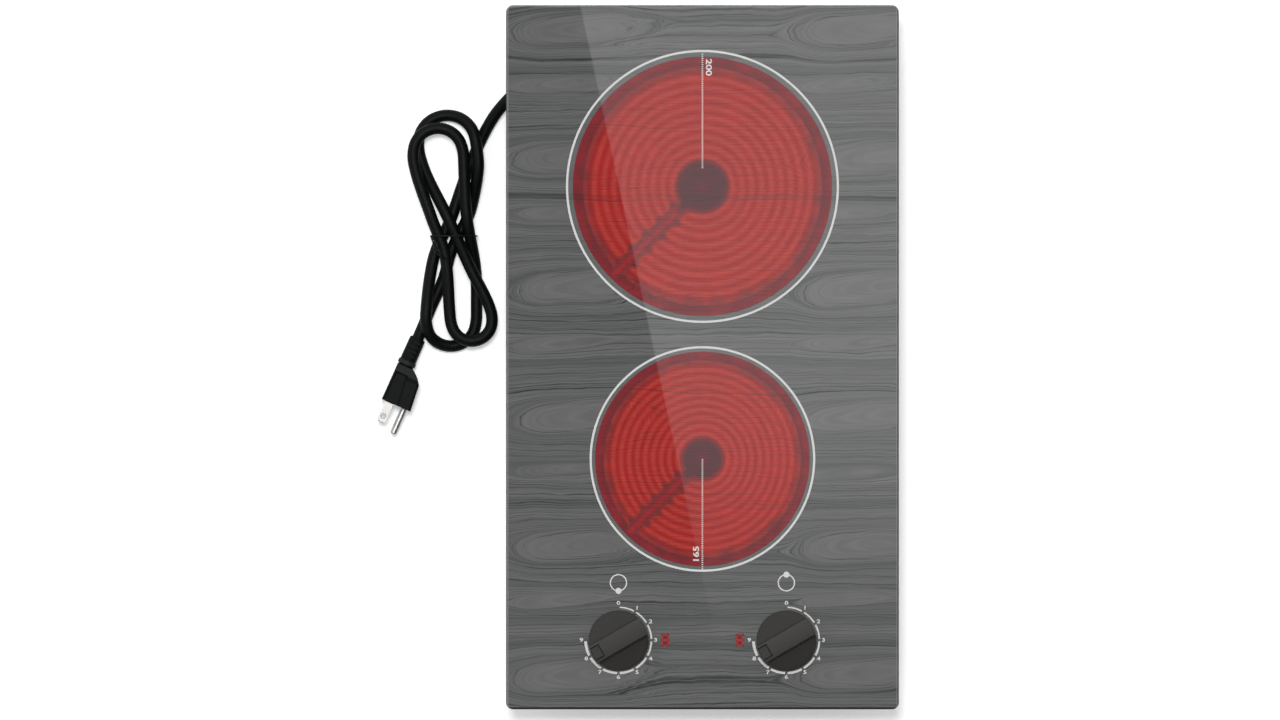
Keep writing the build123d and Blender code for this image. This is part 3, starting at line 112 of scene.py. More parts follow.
# Each lobe: centre x and y, radius, start angle, signed sweep, heights at its start, middle and end.
HANK_LOBES = (
    (-185.6, 26.5, 18.9, 176, 186, (CORD_HIGH + 0.8, CORD_LOW + 0.6, CORD_LOW)),
    (-195.3, 150.9, 18.9, 2, 186, (CORD_HIGH, CORD_HIGH, CORD_HIGH)),
    (-170.4, 27.0, 15.6, 187, 184, (CORD_HIGH, CORD_HIGH, CORD_HIGH)),
    (-188.6, 157.5, 21.6, 190, -190, (CORD_LOW, CORD_LOW + 1.2, CORD_HIGH)),
)
# Each strand: the points that it passes at the waist on its way to the next lobe.
HANK_STRANDS = (
    ((-186.6, 100.0, WAIST_LOW), (-198.2, 75.0, WAIST_LOW)),
    ((-167.4, 64.0, CORD_LOW), (-174.2, 105.0, WAIST_HIGH)),
    ((-199.0, 100.0, WAIST_HIGH), (-190.0, 76.0, WAIST_HIGH)),
    ((-171.5, 66.0, CORD_HIGH), (-186.6, 100.0, WAIST_HIGH)),
    ((-165.3, 141.4, CORD_HIGH), (-172.0, 106.0, CORD_LOW + 0.3), (-180.3, 90.0, WAIST_LOW),
     (-186.8, 75.0, WAIST_LOW)),
)
HANK_STRAIGHT_END = 8.8
HANK_POINT_SPACING = 8.5

# Wire tie in millimetres: the points of its outline across the bundle and of its two ends.
TIE_Y = 89.6
TIE_CORNER_CUT = 2.4
TIE_OUTLINE = (
    (-196.6, TIE_Y, 0.85),
    (-171.0, TIE_Y, 0.85),
    (-166.3, TIE_Y, 9.0),
    (-166.3, TIE_Y, 17.5),
    (-179.0, TIE_Y, 21.7),
    (-200.8, TIE_Y, 21.7),
    (-200.8, TIE_Y, 10.0),
)
TIE_END_CUT = 1.1
TIE_ENDS = (
    (
        (-200.6, 89.6, 17.0),
        (-199.2, 85.6, 19.0),
        (-197.6, 82.0, 20.0),
        (-198.4, 79.0, 20.6),
        (-196.2, 76.4, 21.3),
        (-189.4, 72.6, 21.8),
    ),
    (
        (-199.6, 89.6, 21.7),
        (-198.3, 86.7, 21.2),
        (-196.0, 83.7, 21.4),
        (-195.3, 81.2, 21.4),
        (-196.2, 79.0, 20.6),
        (-195.0, 76.9, 19.8),
    ),
)

# Points or sides of each kind of curve; a wave's count is for one corrugation.
CORNER_POINTS = 7
WIRE_SIDES = 8
RIBBON_LEAD_POINTS = 9
TURN_POINTS = 361
HAIRPIN_POINTS = 13
WAVE_POINTS = 7
FADE_POINTS = 11
RING_POINTS = 256
DIAL_POINTS = 17
ICON_POINTS = 64
DOT_POINTS = 24

# Ribbon layout and printed marks.
RIBBON_LEAD_OFFSET = 3.6 * MM
INK_BED = 0.02 * MM
NUMERAL_SHARE = 0.7
NUMERAL_WEIGHT = 0.035
NUMERAL_STRETCH = 1.4
LADDER_PITCH = 1.55 * MM
LADDER_BAR = 0.75 * MM
LADDER_WIDTH = 1.2 * MM
LADDER_START = {"rear": 14 * MM, "front": 0.5 * MM}
ZONE_NUMBER_OFFSET = 4.5 * MM
ZONE_NUMBER_INSET = 12 * MM
ZONE_NUMBER_HEIGHT = 4.2 * MM
DIAL_TOP = 9
DIAL_STEP = math.radians(30)
DIAL_GAP = math.radians(2.2)
ICON_ABOVE_KNOB = 42.4 * MM
ICON_LINE = 0.9 * MM
ICON_DOT = 4.5 * MM

# Part of a noise's range that is spread to its full effect.
NOISE_SPREAD = (0.3, 0.7)

# Grain: sizes and shifts in millimetres, along and across it, and the rest as shares. Knots and the flatter
# lenses between them push the lines aside; a long drift, a jag at the knots' right ends and a ripple bend
# them; a waver lets them swell and die out, over fine streaks.
KNOT_PITCH = (210.6, 95.3)
KNOT_PLACE = (-101.5, 241.7)
KNOT_TILT = 0.07
KNOT_RIGHT = 1.45
LENS_PLACE = (-112.0, 202.0)
LENS_LEFT = 0.7
LENS_HEIGHT = 0.38
DRIFT_SIZE = (150, 42)
DRIFT_SHIFT = (16.0, 7.0, 0.0)
JAG_SIZE = 5.5
JAG_SHIFT = 14.0
JAG_RANGE = (0.2, 0.9)
JAG_LEVELS = (0.12, 1.0)
RIPPLE_SIZE = (22, 8)
RIPPLE_SHIFT = 1.4
WAVER_SIZE = (70, 3.2)
WAVER_RANGE = (0.34, 0.66)
WAVER_LEVELS = (0.05, 1.0)
STREAK_SIZE = (30, 0.8)
STREAK_LEVELS = (0.91, 1.09)
# Grain lines: how uneven they lie, as a noise's size in millimetres and its shift in spacings; their widths
# as shares of a spacing; strengths; how many hair lines and bands a spacing holds; and where the middle of a
# knot or a lens is open and pale, as depths in millimetres or, for CORE_OPEN, as shares of the half height.
UNEVEN_SIZE = 8.5
UNEVEN_SHIFT = 1.1
LINE_START = 0.06
LINE_WIDTHS = (0.14, 0.4)
LINE_STRENGTHS = (0.3, 1.0)
SWELL_STRENGTHS = (0.45, 1.0)
HAIR_COUNT = 3.4
HAIR_RANGE = (0.36, 0.46)
HAIR_STRENGTH = 0.42
HAIR_FADE = (0.4, 0.6)
HAIR_LEVELS = (1.0, 0.3)
BAND_COUNT = 0.36
BAND_RANGE = (0.36, 0.62)
CORE_OPEN = (0.7, 0.8)
LENS_OPEN = (0.5, 2.0)
LENS_STRENGTHS = (1.0, 0.25)
LENS_PALE = 2.0
PALE_DEPTH = (4.0, 10.0)
PALE_SHARE = 0.7

# Glass in millimetres: how far the ink stays clear of the glow and of the digits, its soft edge, the painted
# shadow line round a printed ring, the width of the painted dark reflection along the ground rim at the
# sides, the rear and the front, and the painted highlight line inside it. The rim fade counts rim widths, and
# a share says how far a tone goes.
GLOW_MARGIN = 1.0
DIGIT_MARGIN = 0.1
OPEN_FADE = 0.6
RING_SHADOW = 0.5
RING_SHADOW_SHARE = 0.55
DARK_RIM_WIDTHS = (0.8, 0.5, 1.4)
DARK_RIM_FADE = (0.9, 1.2)
RIM_HIGHLIGHT_LINE = 1.35
HIGHLIGHT_HALF = (0.2, 0.5)
HIGHLIGHT_SHARE = 0.5
GRAIN_VEIL = 0.15
GLASS_ROUGHNESS = 0.012
GLASS_IOR = 1.53

# Glow: the blotches of each surface as their size in millimetres and their least and most brightness; frayed
# edges as their noise's size and reach in millimetres; edges as shares of the glow's or the hub's radius; the
# spot in the hub's middle in millimetres; and how far each shade goes.
FLOOR_BLOTCH = (16.0, 0.86, 1.12)
TURN_BLOTCH = (6.0, 0.9, 1.08)
STRIP_BLOTCH = (6.0, 0.86, 1.16)
RING_BLOTCH = (12.0, 0.8, 1.1)
TUBE_BLOTCH = (8.0, 0.8, 1.05)
FLOOR_FRAY = (14, 3.0)
RING_FRAY = (12, 2.6)
FLOOR_EDGE = (0.85, 0.94)
FLOOR_EDGE_SHADE = 0.72
RING_FOOT = (0.935, 0.99)
RING_FOOT_SHADE = 0.45
HUB_EDGE = (0.8, 1.17)
TUBE_HUB = 1.5
HUB_SPOT = (1.0, 6.0)
HUB_SPOT_SHARE = 0.3
# Beside the limiter, in millimetres: the half width of its strip between hairpins and at them, the soft edge
# and start of the strip, the half widths over which the leads and the tube fade, and how far each shade goes.
STRIP_HALF = (8.0, 4.4)
STRIP_FADE = 2.0
STRIP_START = 6.0
STRIP_SHADE = 0.66
LEAD_HALF = (4.4, 6.5)
LEAD_SHADE = 0.7
TUBE_HALF = (0.6, 2.8)
TUBE_SHADES = (0.05, 0.5)

# Knob: its turn at rest, clockwise from 0, and the marker's recess, where its groove is painted near black as
# shade.
KNOB_TURN = math.radians(240)
SHADED_RECESS_HALF = 5.2 * MM
SHADED_RECESS_START = 14.2 * MM

# Plug: its start and directions, and in millimetres along and across it the collar, its groove, the panel
# with its slanted right side, the blade's hole and tip, and the fading edges of the paler panel, of the
# painted shade lines, and of the blade's painted shade round its hole and darker band along its tip.
PLUG_START = (-210.4 * MM, 13.29 * MM, 0.0)
PLUG_WAY = (-0.408, -0.913, 0.0)
PLUG_ACROSS = (0.913, -0.408, 0.0)
PLUG_COLLAR = 17.4
PLUG_GROOVE = 21.3
PANEL_START = 28.3
PANEL_LEFT = -4.5
PANEL_RIGHT = 0.35
PANEL_SPREAD = 0.123
BLADE_HOLE = 62.0
BLADE_HOLE_RADIUS = 1.6
BLADE_TIP = 67.0
PALE_PANEL_FADE = 0.6
SHADE_LINE_HALF = (0.5, 1.1)
HOLE_SHADE = (0.4, 0.9)
TIP_DARKENING = (1.0, 0.5)

# Studio: camera height, the sun's spread and direction, the level direction of the sky's bright side, the
# floor and the reflected panel.
CAMERA_HEIGHT = 1.5
SUN_SPREAD = math.radians(12)
SUN_SIDE = (-0.04, 0.16, 0.98)
SKY_SIDE = (-0.53, 0.85, 0.0)
FLOOR_WIDTH = 6.0
FLOOR_LEVEL = -0.2 * MM
FLOOR_LIFT = 0.38
PANEL_SIZE = (0.32, 0.56)
PANEL_LEVEL = 0.5

# Edge of the reflected panel, its softness, and where its brightness ends and is full, counted to the rear.
SHEEN_EDGE = ((-0.0903, 0.2602), (0.0115, -0.2161))
SHEEN_SOFT = 0.6 * MM
SHEEN_END = -0.25
SHEEN_FULL = 0.0


def linear(code):
    """Linear RGBA of an sRGB hex colour."""
    steps = np.array([int(code[k:k + 2], 16) / 255 for k in (1, 3, 5)])
    values = np.where(steps <= 0.04045, steps / 12.92, ((steps + 0.055) / 1.055) ** 2.4)
    return (*values.tolist(), 1.0)


def colour(name, description, code):
    """A colour property with its default given as an sRGB hex colour."""
    return bpy.props.FloatVectorProperty(
        name=name, description=description, subtype="COLOR", size=4, min=0, max=1, default=linear(code))


def length(name, description, millimetres):
    """A length property with its default given in millimetres."""
    return bpy.props.FloatProperty(
        name=name, description=description, unit="LENGTH", min=0, default=millimetres * MM)


def share(name, description, default):
    """A property from 0 to 1."""
    return bpy.props.FloatProperty(
        name=name, description=description, subtype="FACTOR", min=0, max=1, default=default)


class CooktopGlass(bpy.types.PropertyGroup):
    """Printed glass top."""

    tone: colour("Print", "Main grey of the printed wood grain", "#676767")
    shade: colour("Bands", "Broad darker bands of the grain", "#585a59")
    line: colour("Lines", "Thin dark lines of the grain", "#1f2524")
    # Edge: colour of the painted dark reflection along the glass's ground rim.
    edge: colour("Edge", "Ground rim of the glass", "#16191a")
    line_spacing: length("Line spacing", "Mean distance between grain lines", 3.4)
    knot_length: length("Knot length", "Length of a knot to the left of its middle", 37)
    knot_height: length("Knot height", "Half height of a knot in the grain", 14)
    tint: share("Tint over heaters", "Share of light that the glass holds back over the heaters", 0.7)


class CooktopPrint(bpy.types.PropertyGroup):
    """Marks printed on the glass."""

    thickness: length("Thickness", "Height of the ink above the glass", 0.05)
    ring_width: length("Ring width", "Line width of the zone rings", 1.6)
    dial_radius: length("Dial radius", "Radius of the dial arcs", 24.3)
    dial_thin: length("Dial line at 0", "Width of the dial line at its low end", 1.0)
    dial_thick: length("Dial line at 9", "Width of the dial line at its high end", 2.0)
    number_radius: length("Number radius", "Radius of the ring of dial numbers", 27.4)
    number_height: length("Number height", "Height of the dial numbers", 2.7)
    icon_radius: length("Icon radius", "Radius of the zone icons", 6.0)


class CooktopHeaters(bpy.types.PropertyGroup):
    """Glowing heaters under the glass."""

    ribbon: colour("Ribbon glow", "Colour of the hot ribbon and under its turns", "#be3830")
    floor: colour("Floor glow", "Colour of the insulation floor between the turns", "#ae1a17")
    rim: colour("Rim glow", "Colour of the lit insulation ring", "#8f212b")
    hub: colour("Hub glow", "Colour of the shaded hub", "#5a2a30")
    limiter: colour("Limiter glow", "Colour of the limiter's tube", "#ac262d")
    strength: bpy.props.FloatProperty(
        name="Strength", description="Brightness of the glow before the glass", min=0, default=2.55)
    wave_height: length("Wave height", "Half height of the ribbon's corrugation", 1.1)
    wave_length: length("Wave length", "Length of one corrugation", 5.0)
    thickness: length("Ribbon thickness", "Thickness of the ribbon, drawn coarse", 0.8)


class CooktopCord(bpy.types.PropertyGroup):
    """Mains cord and its tie."""

    diameter: length("Diameter", "Cord diameter", 8.8)
    cord_length: length("Length", "Cord length from bushing to plug", 979)
    tie_wire: length("Tie wire", "Radius of the tie's wire", 0.6)


class CooktopStage(bpy.types.PropertyGroup):
    """Camera, lamps and floor."""

    view_width: bpy.props.FloatProperty(
        name="View width", description="Width of the camera's view", unit="LENGTH", default=0.9453)
    view_centre: bpy.props.FloatVectorProperty(
        name="View centre", description="Place that the camera looks down on", size=2, unit="LENGTH",
        default=(-0.0461, -0.0020))
    sun: bpy.props.FloatProperty(name="Sun", description="Strength of the main lamp", min=0, default=1.97)
    sky: share("Sky", "Light from all round", 0.45)
    sky_slope: share("Sky slope", "How much brighter the sky is to the rear left", 0.8)
    sheen: bpy.props.FloatProperty(
        name="Sheen", description="Brightness of the reflected panel on its bright side", min=0, default=1.45)
    sheen_dark: share("Sheen, dark side", "Brightness of the reflected panel on its dark side", 0.1)


def node(tree, kind, *values, sockets=None, **settings):
    """Adds a shader node with its settings. Values go to its inputs in order, sockets by name; a node
    given as a value is linked by its first output."""
    made = tree.nodes.new("ShaderNode" + kind)
    for name, value in settings.items():
        setattr(made, name, value)
    for key, value in [*enumerate(values), *(sockets or {}).items()]:
        source = value.outputs[0] if isinstance(value, bpy.types.Node) else value
        if isinstance(source, bpy.types.NodeSocket):
            tree.links.new(source, made.inputs[key])
        else:
            made.inputs[key].default_value = source
    return made


def new_material(name):
    """An empty node material and its node tree."""
    made = bpy.data.materials.new(name)
    made.use_nodes = True
    made.node_tree.nodes.clear()
    return made, made.node_tree


def paint(material, *node_names):
    """Gives CAD nodes a material."""
    for name in node_names:
        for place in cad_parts[name].material_slots:
            place.material = material


def grained(name, tones, grain, roughness, relief=0.0, stretch=(1, 1, 1), **sockets):
    """Principled surface whose tone, gloss and relief follow one noise with blotches of a given size
    in millimetres, longer along an axis by its stretch."""
    made, tree = new_material(name)
    place = node(tree, "TexCoord").outputs["Object"]
    scale = [1 / (grain * MM * times) for times in stretch]
    scaled = node(tree, "Mapping", sockets={"Vector": place, "Scale": scale})
    noise = node(tree, "TexNoise", sockets={"Vector": scaled, "Scale": 1.0, "Detail": 3.0})
    spread = node(tree, "MapRange", noise, *NOISE_SPREAD, 0.0, 1.0)
    tone = node(tree, "MixRGB", spread, linear(tones[0]), linear(tones[1]))
    gloss = node(tree, "MapRange", spread, 0.0, 1.0, *roughness)
    bump = node(tree, "Bump", sockets={"Height": spread, "Distance": relief * MM, "Strength": 1.0})
    named = {key.replace("_", " "): value for key, value in sockets.items()}
    shader = node(tree, "BsdfPrincipled",
                  sockets={"Base Color": tone, "Roughness": gloss, "Normal": bump, **named})
    node(tree, "OutputMaterial", shader)
    return made


def mesh_piece(name, parts, material):
    """A piece that rides on the base, from (vertices, quads) arrays."""
    counts = np.cumsum([0] + [len(vertices) for vertices, _ in parts])
    vertices = np.concatenate([part[0] for part in parts])
    quads = np.concatenate([part[1] + start for part, start in zip(parts, counts)])
    mesh = bpy.data.meshes.new(name)
    mesh.from_pydata(vertices.tolist(), [], quads.tolist())
    mesh.update()
    mesh.materials.append(material)
    piece = bpy.data.objects.new(name, mesh)
    bpy.context.scene.collection.objects.link(piece)
    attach(piece, "base")
    return piece


def ring_quads(count, sides, closed):
    """Quads of a tube of count sections with that many sides, capped by quads if it is open."""
    index = np.arange(count * sides).reshape(count, sides)
    here, ahead = (index, np.roll(index, -1, 0)) if closed else (index[:-1], index[1:])
    walls = np.stack([here, ahead, np.roll(ahead, -1, 1), np.roll(here, -1, 1)], -1).reshape(-1, 4)
    if closed:
        return walls
    steps = np.arange(1, sides // 2)
    cap = np.stack([np.zeros_like(steps), 2 * steps - 1, 2 * steps, (2 * steps + 1) % sides], -1)
    return np.concatenate([walls, index[0][cap], index[-1][cap[:, ::-1]]])


def directions(path, closed):
    """Unit directions of travel along a path."""
    ahead = np.roll(path, -1, 0) - np.roll(path, 1, 0) if closed else np.gradient(path, axis=0)
    return ahead / np.linalg.norm(ahead, axis=1, keepdims=True)


def flat_band(path, width, low, high, closed=False):
    """Rectangle carried along a level path: its corners stand half the width to the left and to the
    right of the path, at the low and the high level."""
    path = np.asarray(path, float)[:, :2]
    ahead = directions(path, closed)
    left = np.stack([-ahead[:, 1], ahead[:, 0]], 1) * np.broadcast_to(width, len(path))[:, None] / 2
    corners = [(left, low), (-left, low), (-left, high), (left, high)]
    section = [np.column_stack([path + side, np.full(len(path), level)]) for side, level in corners]
    vertices = np.stack(section, 1).reshape(-1, 3)
    return vertices, ring_quads(len(path), 4, closed)


def tube(path, radius, sides, reference, closed=False):
    """Circle carried along a path, square to it, with its first axis square to a reference direction."""
    ahead = directions(path, closed)
    across = np.cross(ahead, reference)
    across /= np.linalg.norm(across, axis=1, keepdims=True)
    up = np.cross(across, ahead)
    turn = np.linspace(0, 2 * np.pi, sides, endpoint=False)[None, :, None]
    vertices = path[:, None] + radius * (np.cos(turn) * across[:, None] + np.sin(turn) * up[:, None])
    return vertices.reshape(-1, 3), ring_quads(len(path), sides, closed)


def arc(centre, radius, start, end, count):
    """Points of a level arc, angles in radians."""
    turn = np.linspace(start, end, count)
    return np.stack([centre[0] + radius * np.cos(turn), centre[1] + radius * np.sin(turn)], 1)


def circle(centre, radius, count):
    """Points of a whole level circle, without repeating the first."""
    return arc(centre, radius, 0, 2 * math.pi, count + 1)[:-1]


def bezier(start, first, second, end, count):
    """Cubic Bezier points from start to end."""
    t = np.linspace(0, 1, count)[:, None]
    start, first, second, end = (np.asarray(point, float) for point in (start, first, second, end))
    return start * (1 - t) ** 3 + 3 * first * t * (1 - t) ** 2 + 3 * second * t ** 2 * (1 - t) + end * t ** 3


def evenly(path, spacing):
    """The same path with points at an even spacing, measured on its first two axes, and the distance
    along it at each point."""
    steps = np.linalg.norm(np.diff(path[:, :2], axis=0), axis=1)
    along = np.concatenate([[0], np.cumsum(steps)])
    marks = np.linspace(0, along[-1], int(along[-1] / spacing) + 1)
    return np.stack([np.interp(marks, along, axis) for axis in path.T], 1), marks


def hank_points():
    """Control points of the hank. It passes stations: a straight end, each strand's waist points, each
    lobe's start, middle and end, and a straight end. Between two stations a cubic with handles of
    chord / (3 cos^2(turn / 4)) keeps both headings, and its points stand an even distance apart."""
    lead, tail = np.array(LEAD_POINTS), np.array(TAIL_POINTS)
    lead_way, tail_way = (way / np.linalg.norm(way) for way in (lead[-1] - lead[-2], tail[1] - tail[0]))
    places, headings = [lead[-1] + HANK_STRAIGHT_END * lead_way], [lead_way]
    for strand, lobe in zip(HANK_STRANDS, (*HANK_LOBES, None)):
        places += [np.array(point) for point in strand]
        headings += [None] * len(strand)
        if lobe:
            x, y, radius, start, sweep, heights = lobe
            turns = np.radians(start + sweep * np.array([0, 0.5, 1]))
            places += list(np.stack([x + radius * np.cos(turns), y + radius * np.sin(turns), heights], 1))
            headings += list(np.sign(sweep) * np.stack([-np.sin(turns), np.cos(turns), 0 * turns], 1))
    places.append(tail[0] - HANK_STRAIGHT_END * tail_way)
    headings.append(tail_way)
    for k, heading in enumerate(headings):
        if heading is None:
            way = (places[k + 1] - places[k - 1]) * (1, 1, 0)
            headings[k] = way / np.linalg.norm(way)
    points = []
    for start, end, leaving, arriving in zip(places, places[1:], headings, headings[1:]):
        chord = np.linalg.norm(end - start)
        turn = math.acos(np.clip(leaving @ arriving, -1, 1))
        handle = chord / (3 * math.cos(turn / 4) ** 2)
        count = max(2, round(chord / HANK_POINT_SPACING))
        points.append(bezier(start, start + handle * leaving, end - handle * arriving, end, count + 1)[:-1])
    return np.concatenate([*points, [places[-1]]])


def mains_cord(settings):
    """Cord as one NURBS spline: the lead's points, the hank's turns and the tail's points."""
    points = np.concatenate([LEAD_POINTS, hank_points(), TAIL_POINTS]) * MM
    curve = bpy.data.curves.new("mains_cord", "CURVE")
    curve.dimensions = "3D"
    curve.bevel_depth = settings.diameter / 2
    curve.bevel_resolution = 6
    curve.use_fill_caps = True
    spline = curve.splines.new("NURBS")
    spline.points.add(len(points) - 1)
    spline.points.foreach_set("co", np.column_stack([points, np.ones(len(points))]).ravel())
    spline.order_u = 3
    spline.use_endpoint_u = True
    spline.resolution_u = 5
    piece = bpy.data.objects.new("mains_cord", curve)
    bpy.context.scene.collection.objects.link(piece)
    return piece


def rounded(points, cut, closed=False):
    """Line through points with each corner cut by a cubic that starts and ends a cut away from it."""
    points = np.array(points)
    before, after = np.roll(points, 1, 0), np.roll(points, -1, 0)
    starts, ends = (
        points + cut * (side - points) / np.linalg.norm(side - points, axis=1, keepdims=True)
        for side in (before, after))
    corners = [bezier(a, (a + 2 * b) / 3, (c + 2 * b) / 3, c, CORNER_POINTS)
               for a, b, c in zip(starts, points, ends)]
    if closed:
        return np.concatenate(corners)
    return np.concatenate([points[:1], *corners[1:-1], points[-1:]])


def ribbon_path(zone, lead_offset):
    """Centre line of a ribbon, with the limiter along X, and where it is corrugated.

    Turn n has radius first + n * pitch and goes the long way round from one side of the limiter to
    the other. Half circles join neighbours on alternate sides, at the angle whose sine is half the
    gap over the radius between them. Straight leads run out beside the limiter."""
    pitch = zone.pitch
    radii = zone.first_turn + pitch * np.arange(zone.turns)
    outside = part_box("heater_dish_" + zone.name)[1].x
    opening = np.arcsin(zone.gap_half / np.concatenate([radii[:1], radii[1:] - pitch / 2, radii[-1:]]))
    side = -1
    start = radii[0] * np.array([math.cos(opening[0]), side * math.sin(opening[0])])
    inlet = np.array([start[0] + lead_offset, side * lead_offset])
    sway = lead_offset * np.array([1, 0])
    leaving = lead_offset * np.array([math.sin(opening[0]), -side * math.cos(opening[0])])
    parts = [np.array([[outside, inlet[1]], inlet]),
             bezier(inlet, inlet - sway, start + leaving, start, RIBBON_LEAD_POINTS)]
    waves = [0, 0]
    for number, radius in enumerate(radii):
        sweep = 2 * math.pi - opening[number] - opening[number + 1]
        begin, finish = side * opening[number], side * (opening[number] + sweep)
        parts.append(arc((0, 0), radius, begin, finish, TURN_POINTS))
        waves.append(1)
        side = -side
        if number < zone.turns - 1:
            angle = side * opening[number + 1]
            radial = np.array([math.cos(angle), math.sin(angle)])
            inward = side * np.array([math.sin(angle), -math.cos(angle)])
            turn = np.linspace(0, math.pi, HAIRPIN_POINTS)[:, None]
            middle_point = (radius + pitch / 2) * radial
            parts.append(middle_point + pitch / 2 * (-np.cos(turn) * radial + np.sin(turn) * inward))
            waves.append(0)
    end = parts[-1][-1]
    outlet = np.array([end[0] + lead_offset, side * lead_offset])
    leaving = lead_offset * np.array([math.sin(opening[-1]), -side * math.cos(opening[-1])])
    parts += [bezier(end, end + leaving, outlet - sway, outlet, RIBBON_LEAD_POINTS),
              np.array([outlet, [outside, outlet[1]]])]
    waves += [0, 0]
    wave = np.concatenate([np.full(len(part), float(value)) for part, value in zip(parts, waves)])
    return np.concatenate(parts), wave


def heating_ribbon(zone, settings, material):
    """Corrugated strip on edge: its centre line waves across the path by a sine of the distance along
    it, and dies out at the hairpins and the leads."""
    path, wave = ribbon_path(zone, RIBBON_LEAD_OFFSET)
    line, along = evenly(np.column_stack([path, wave]), settings.wave_length / WAVE_POINTS)
    window = np.hanning(FADE_POINTS)
    fade = np.convolve(line[:, 2], window / window.sum(), mode="same")
    ahead = directions(line[:, :2], False)
    left = np.stack([-ahead[:, 1], ahead[:, 0]], 1)
    swing = settings.wave_height * fade * np.sin(2 * np.pi * along / settings.wave_length)
    level = line[:, :2] + swing[:, None] * left
    turn = np.array([[math.cos(LIMITER_ANGLE), math.sin(LIMITER_ANGLE)],
                     [-math.sin(LIMITER_ANGLE), math.cos(LIMITER_ANGLE)]])
    name = "heating_ribbon_" + zone.name
    low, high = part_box(name)
    band = flat_band(level @ turn + np.array(zone.centre[:2]), settings.thickness, low.z, high.z)
    piece = mesh_piece("corrugated_ribbon_" + zone.name, [band], material)
    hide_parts(name)


def number_mesh(text, height, place, turn=0.0):
    """Mesh of upright numerals of a given height, centred on a place on the glass."""
    curve = bpy.data.curves.new("number", "FONT")
    curve.body = text
    curve.size = height / NUMERAL_SHARE
    curve.align_x = "CENTER"
    curve.align_y = "CENTER"
    curve.offset = height * NUMERAL_WEIGHT
    curve.extrude = INK_BED
    curve.resolution_u = 3
    holder = bpy.data.objects.new("number", curve)
    mesh = bpy.data.meshes.new_from_object(holder)
    bpy.data.objects.remove(holder)
    level = Vector((place[0], place[1], GLASS_HIGH.z))
    wide = Matrix.Diagonal((NUMERAL_STRETCH, 1, 1, 1))
    mesh.transform(Matrix.Translation(level) @ Matrix.Rotation(turn, 4, "Z") @ wide)
    return mesh


def print_piece(name, bands, numbers, material):
    """A printed piece from flat bands and number meshes."""
    piece = mesh_piece(name, bands, material)
    joined = bmesh.new()
    joined.from_mesh(piece.data)
    for mesh in numbers:
        joined.from_mesh(mesh)
        bpy.data.meshes.remove(mesh)
    joined.to_mesh(piece.data)
    joined.free()


def zone_marks(zone, settings, bed):
    """Ring, ladder of short bars along one radius and the zone's diameter in millimetres."""
    centre, side = zone.centre, 1 if zone.name == "rear" else -1
    low, high = bed
    bands = [flat_band(circle(centre, zone.ring, RING_POINTS), settings.ring_width, low, high, closed=True)]
    inner, outer = LADDER_START[zone.name], zone.ring - settings.ring_width / 2
    for reach in np.arange(inner, outer, LADDER_PITCH):
        y = centre.y + side * reach
        bar = [(centre.x - LADDER_WIDTH / 2, y), (centre.x + LADDER_WIDTH / 2, y)]
        bands.append(flat_band(bar, LADDER_BAR, low, high))
    place = (centre.x + side * ZONE_NUMBER_OFFSET, centre.y + side * (zone.ring - ZONE_NUMBER_INSET))
    number = number_mesh(str(round(2 * zone.ring / MM)), ZONE_NUMBER_HEIGHT, place, -side * math.pi / 2)
    return bands, [number]


def dial_marks(side, settings, bed):
    """Nine arcs that widen clockwise from 0 to 9, upright numbers, and a zone icon above the dial."""
    knob, direction = middle("knob_" + side), 1 if side == "right" else -1
    low, high = bed
    bands, numbers = [], []
    for step in range(DIAL_TOP + 1):
        angle = math.pi / 2 - step * DIAL_STEP
        place = (knob.x + settings.number_radius * math.cos(angle),
                 knob.y + settings.number_radius * math.sin(angle))
        numbers.append(number_mesh(str(step), settings.number_height, place))
        if step < DIAL_TOP:
            begin, finish = angle - DIAL_GAP, angle - DIAL_STEP + DIAL_GAP
            path = arc(knob, settings.dial_radius, begin, finish, DIAL_POINTS)
            share_here = np.linspace(step, step + 1, DIAL_POINTS) / DIAL_TOP
            width = settings.dial_thin + share_here * (settings.dial_thick - settings.dial_thin)
            bands.append(flat_band(path, width, low, high))
    icon = Vector((knob.x, knob.y + ICON_ABOVE_KNOB, 0))
    ring = circle(icon, settings.icon_radius, ICON_POINTS)
    bands.append(flat_band(ring, ICON_LINE, low, high, closed=True))
    dot = icon + Vector((0, direction * settings.icon_radius, 0))
    disc = circle(dot, ICON_DOT / 4, DOT_POINTS)
    bands.append(flat_band(disc, ICON_DOT / 2, low, high + INK_BED, closed=True))
    return bands, numbers


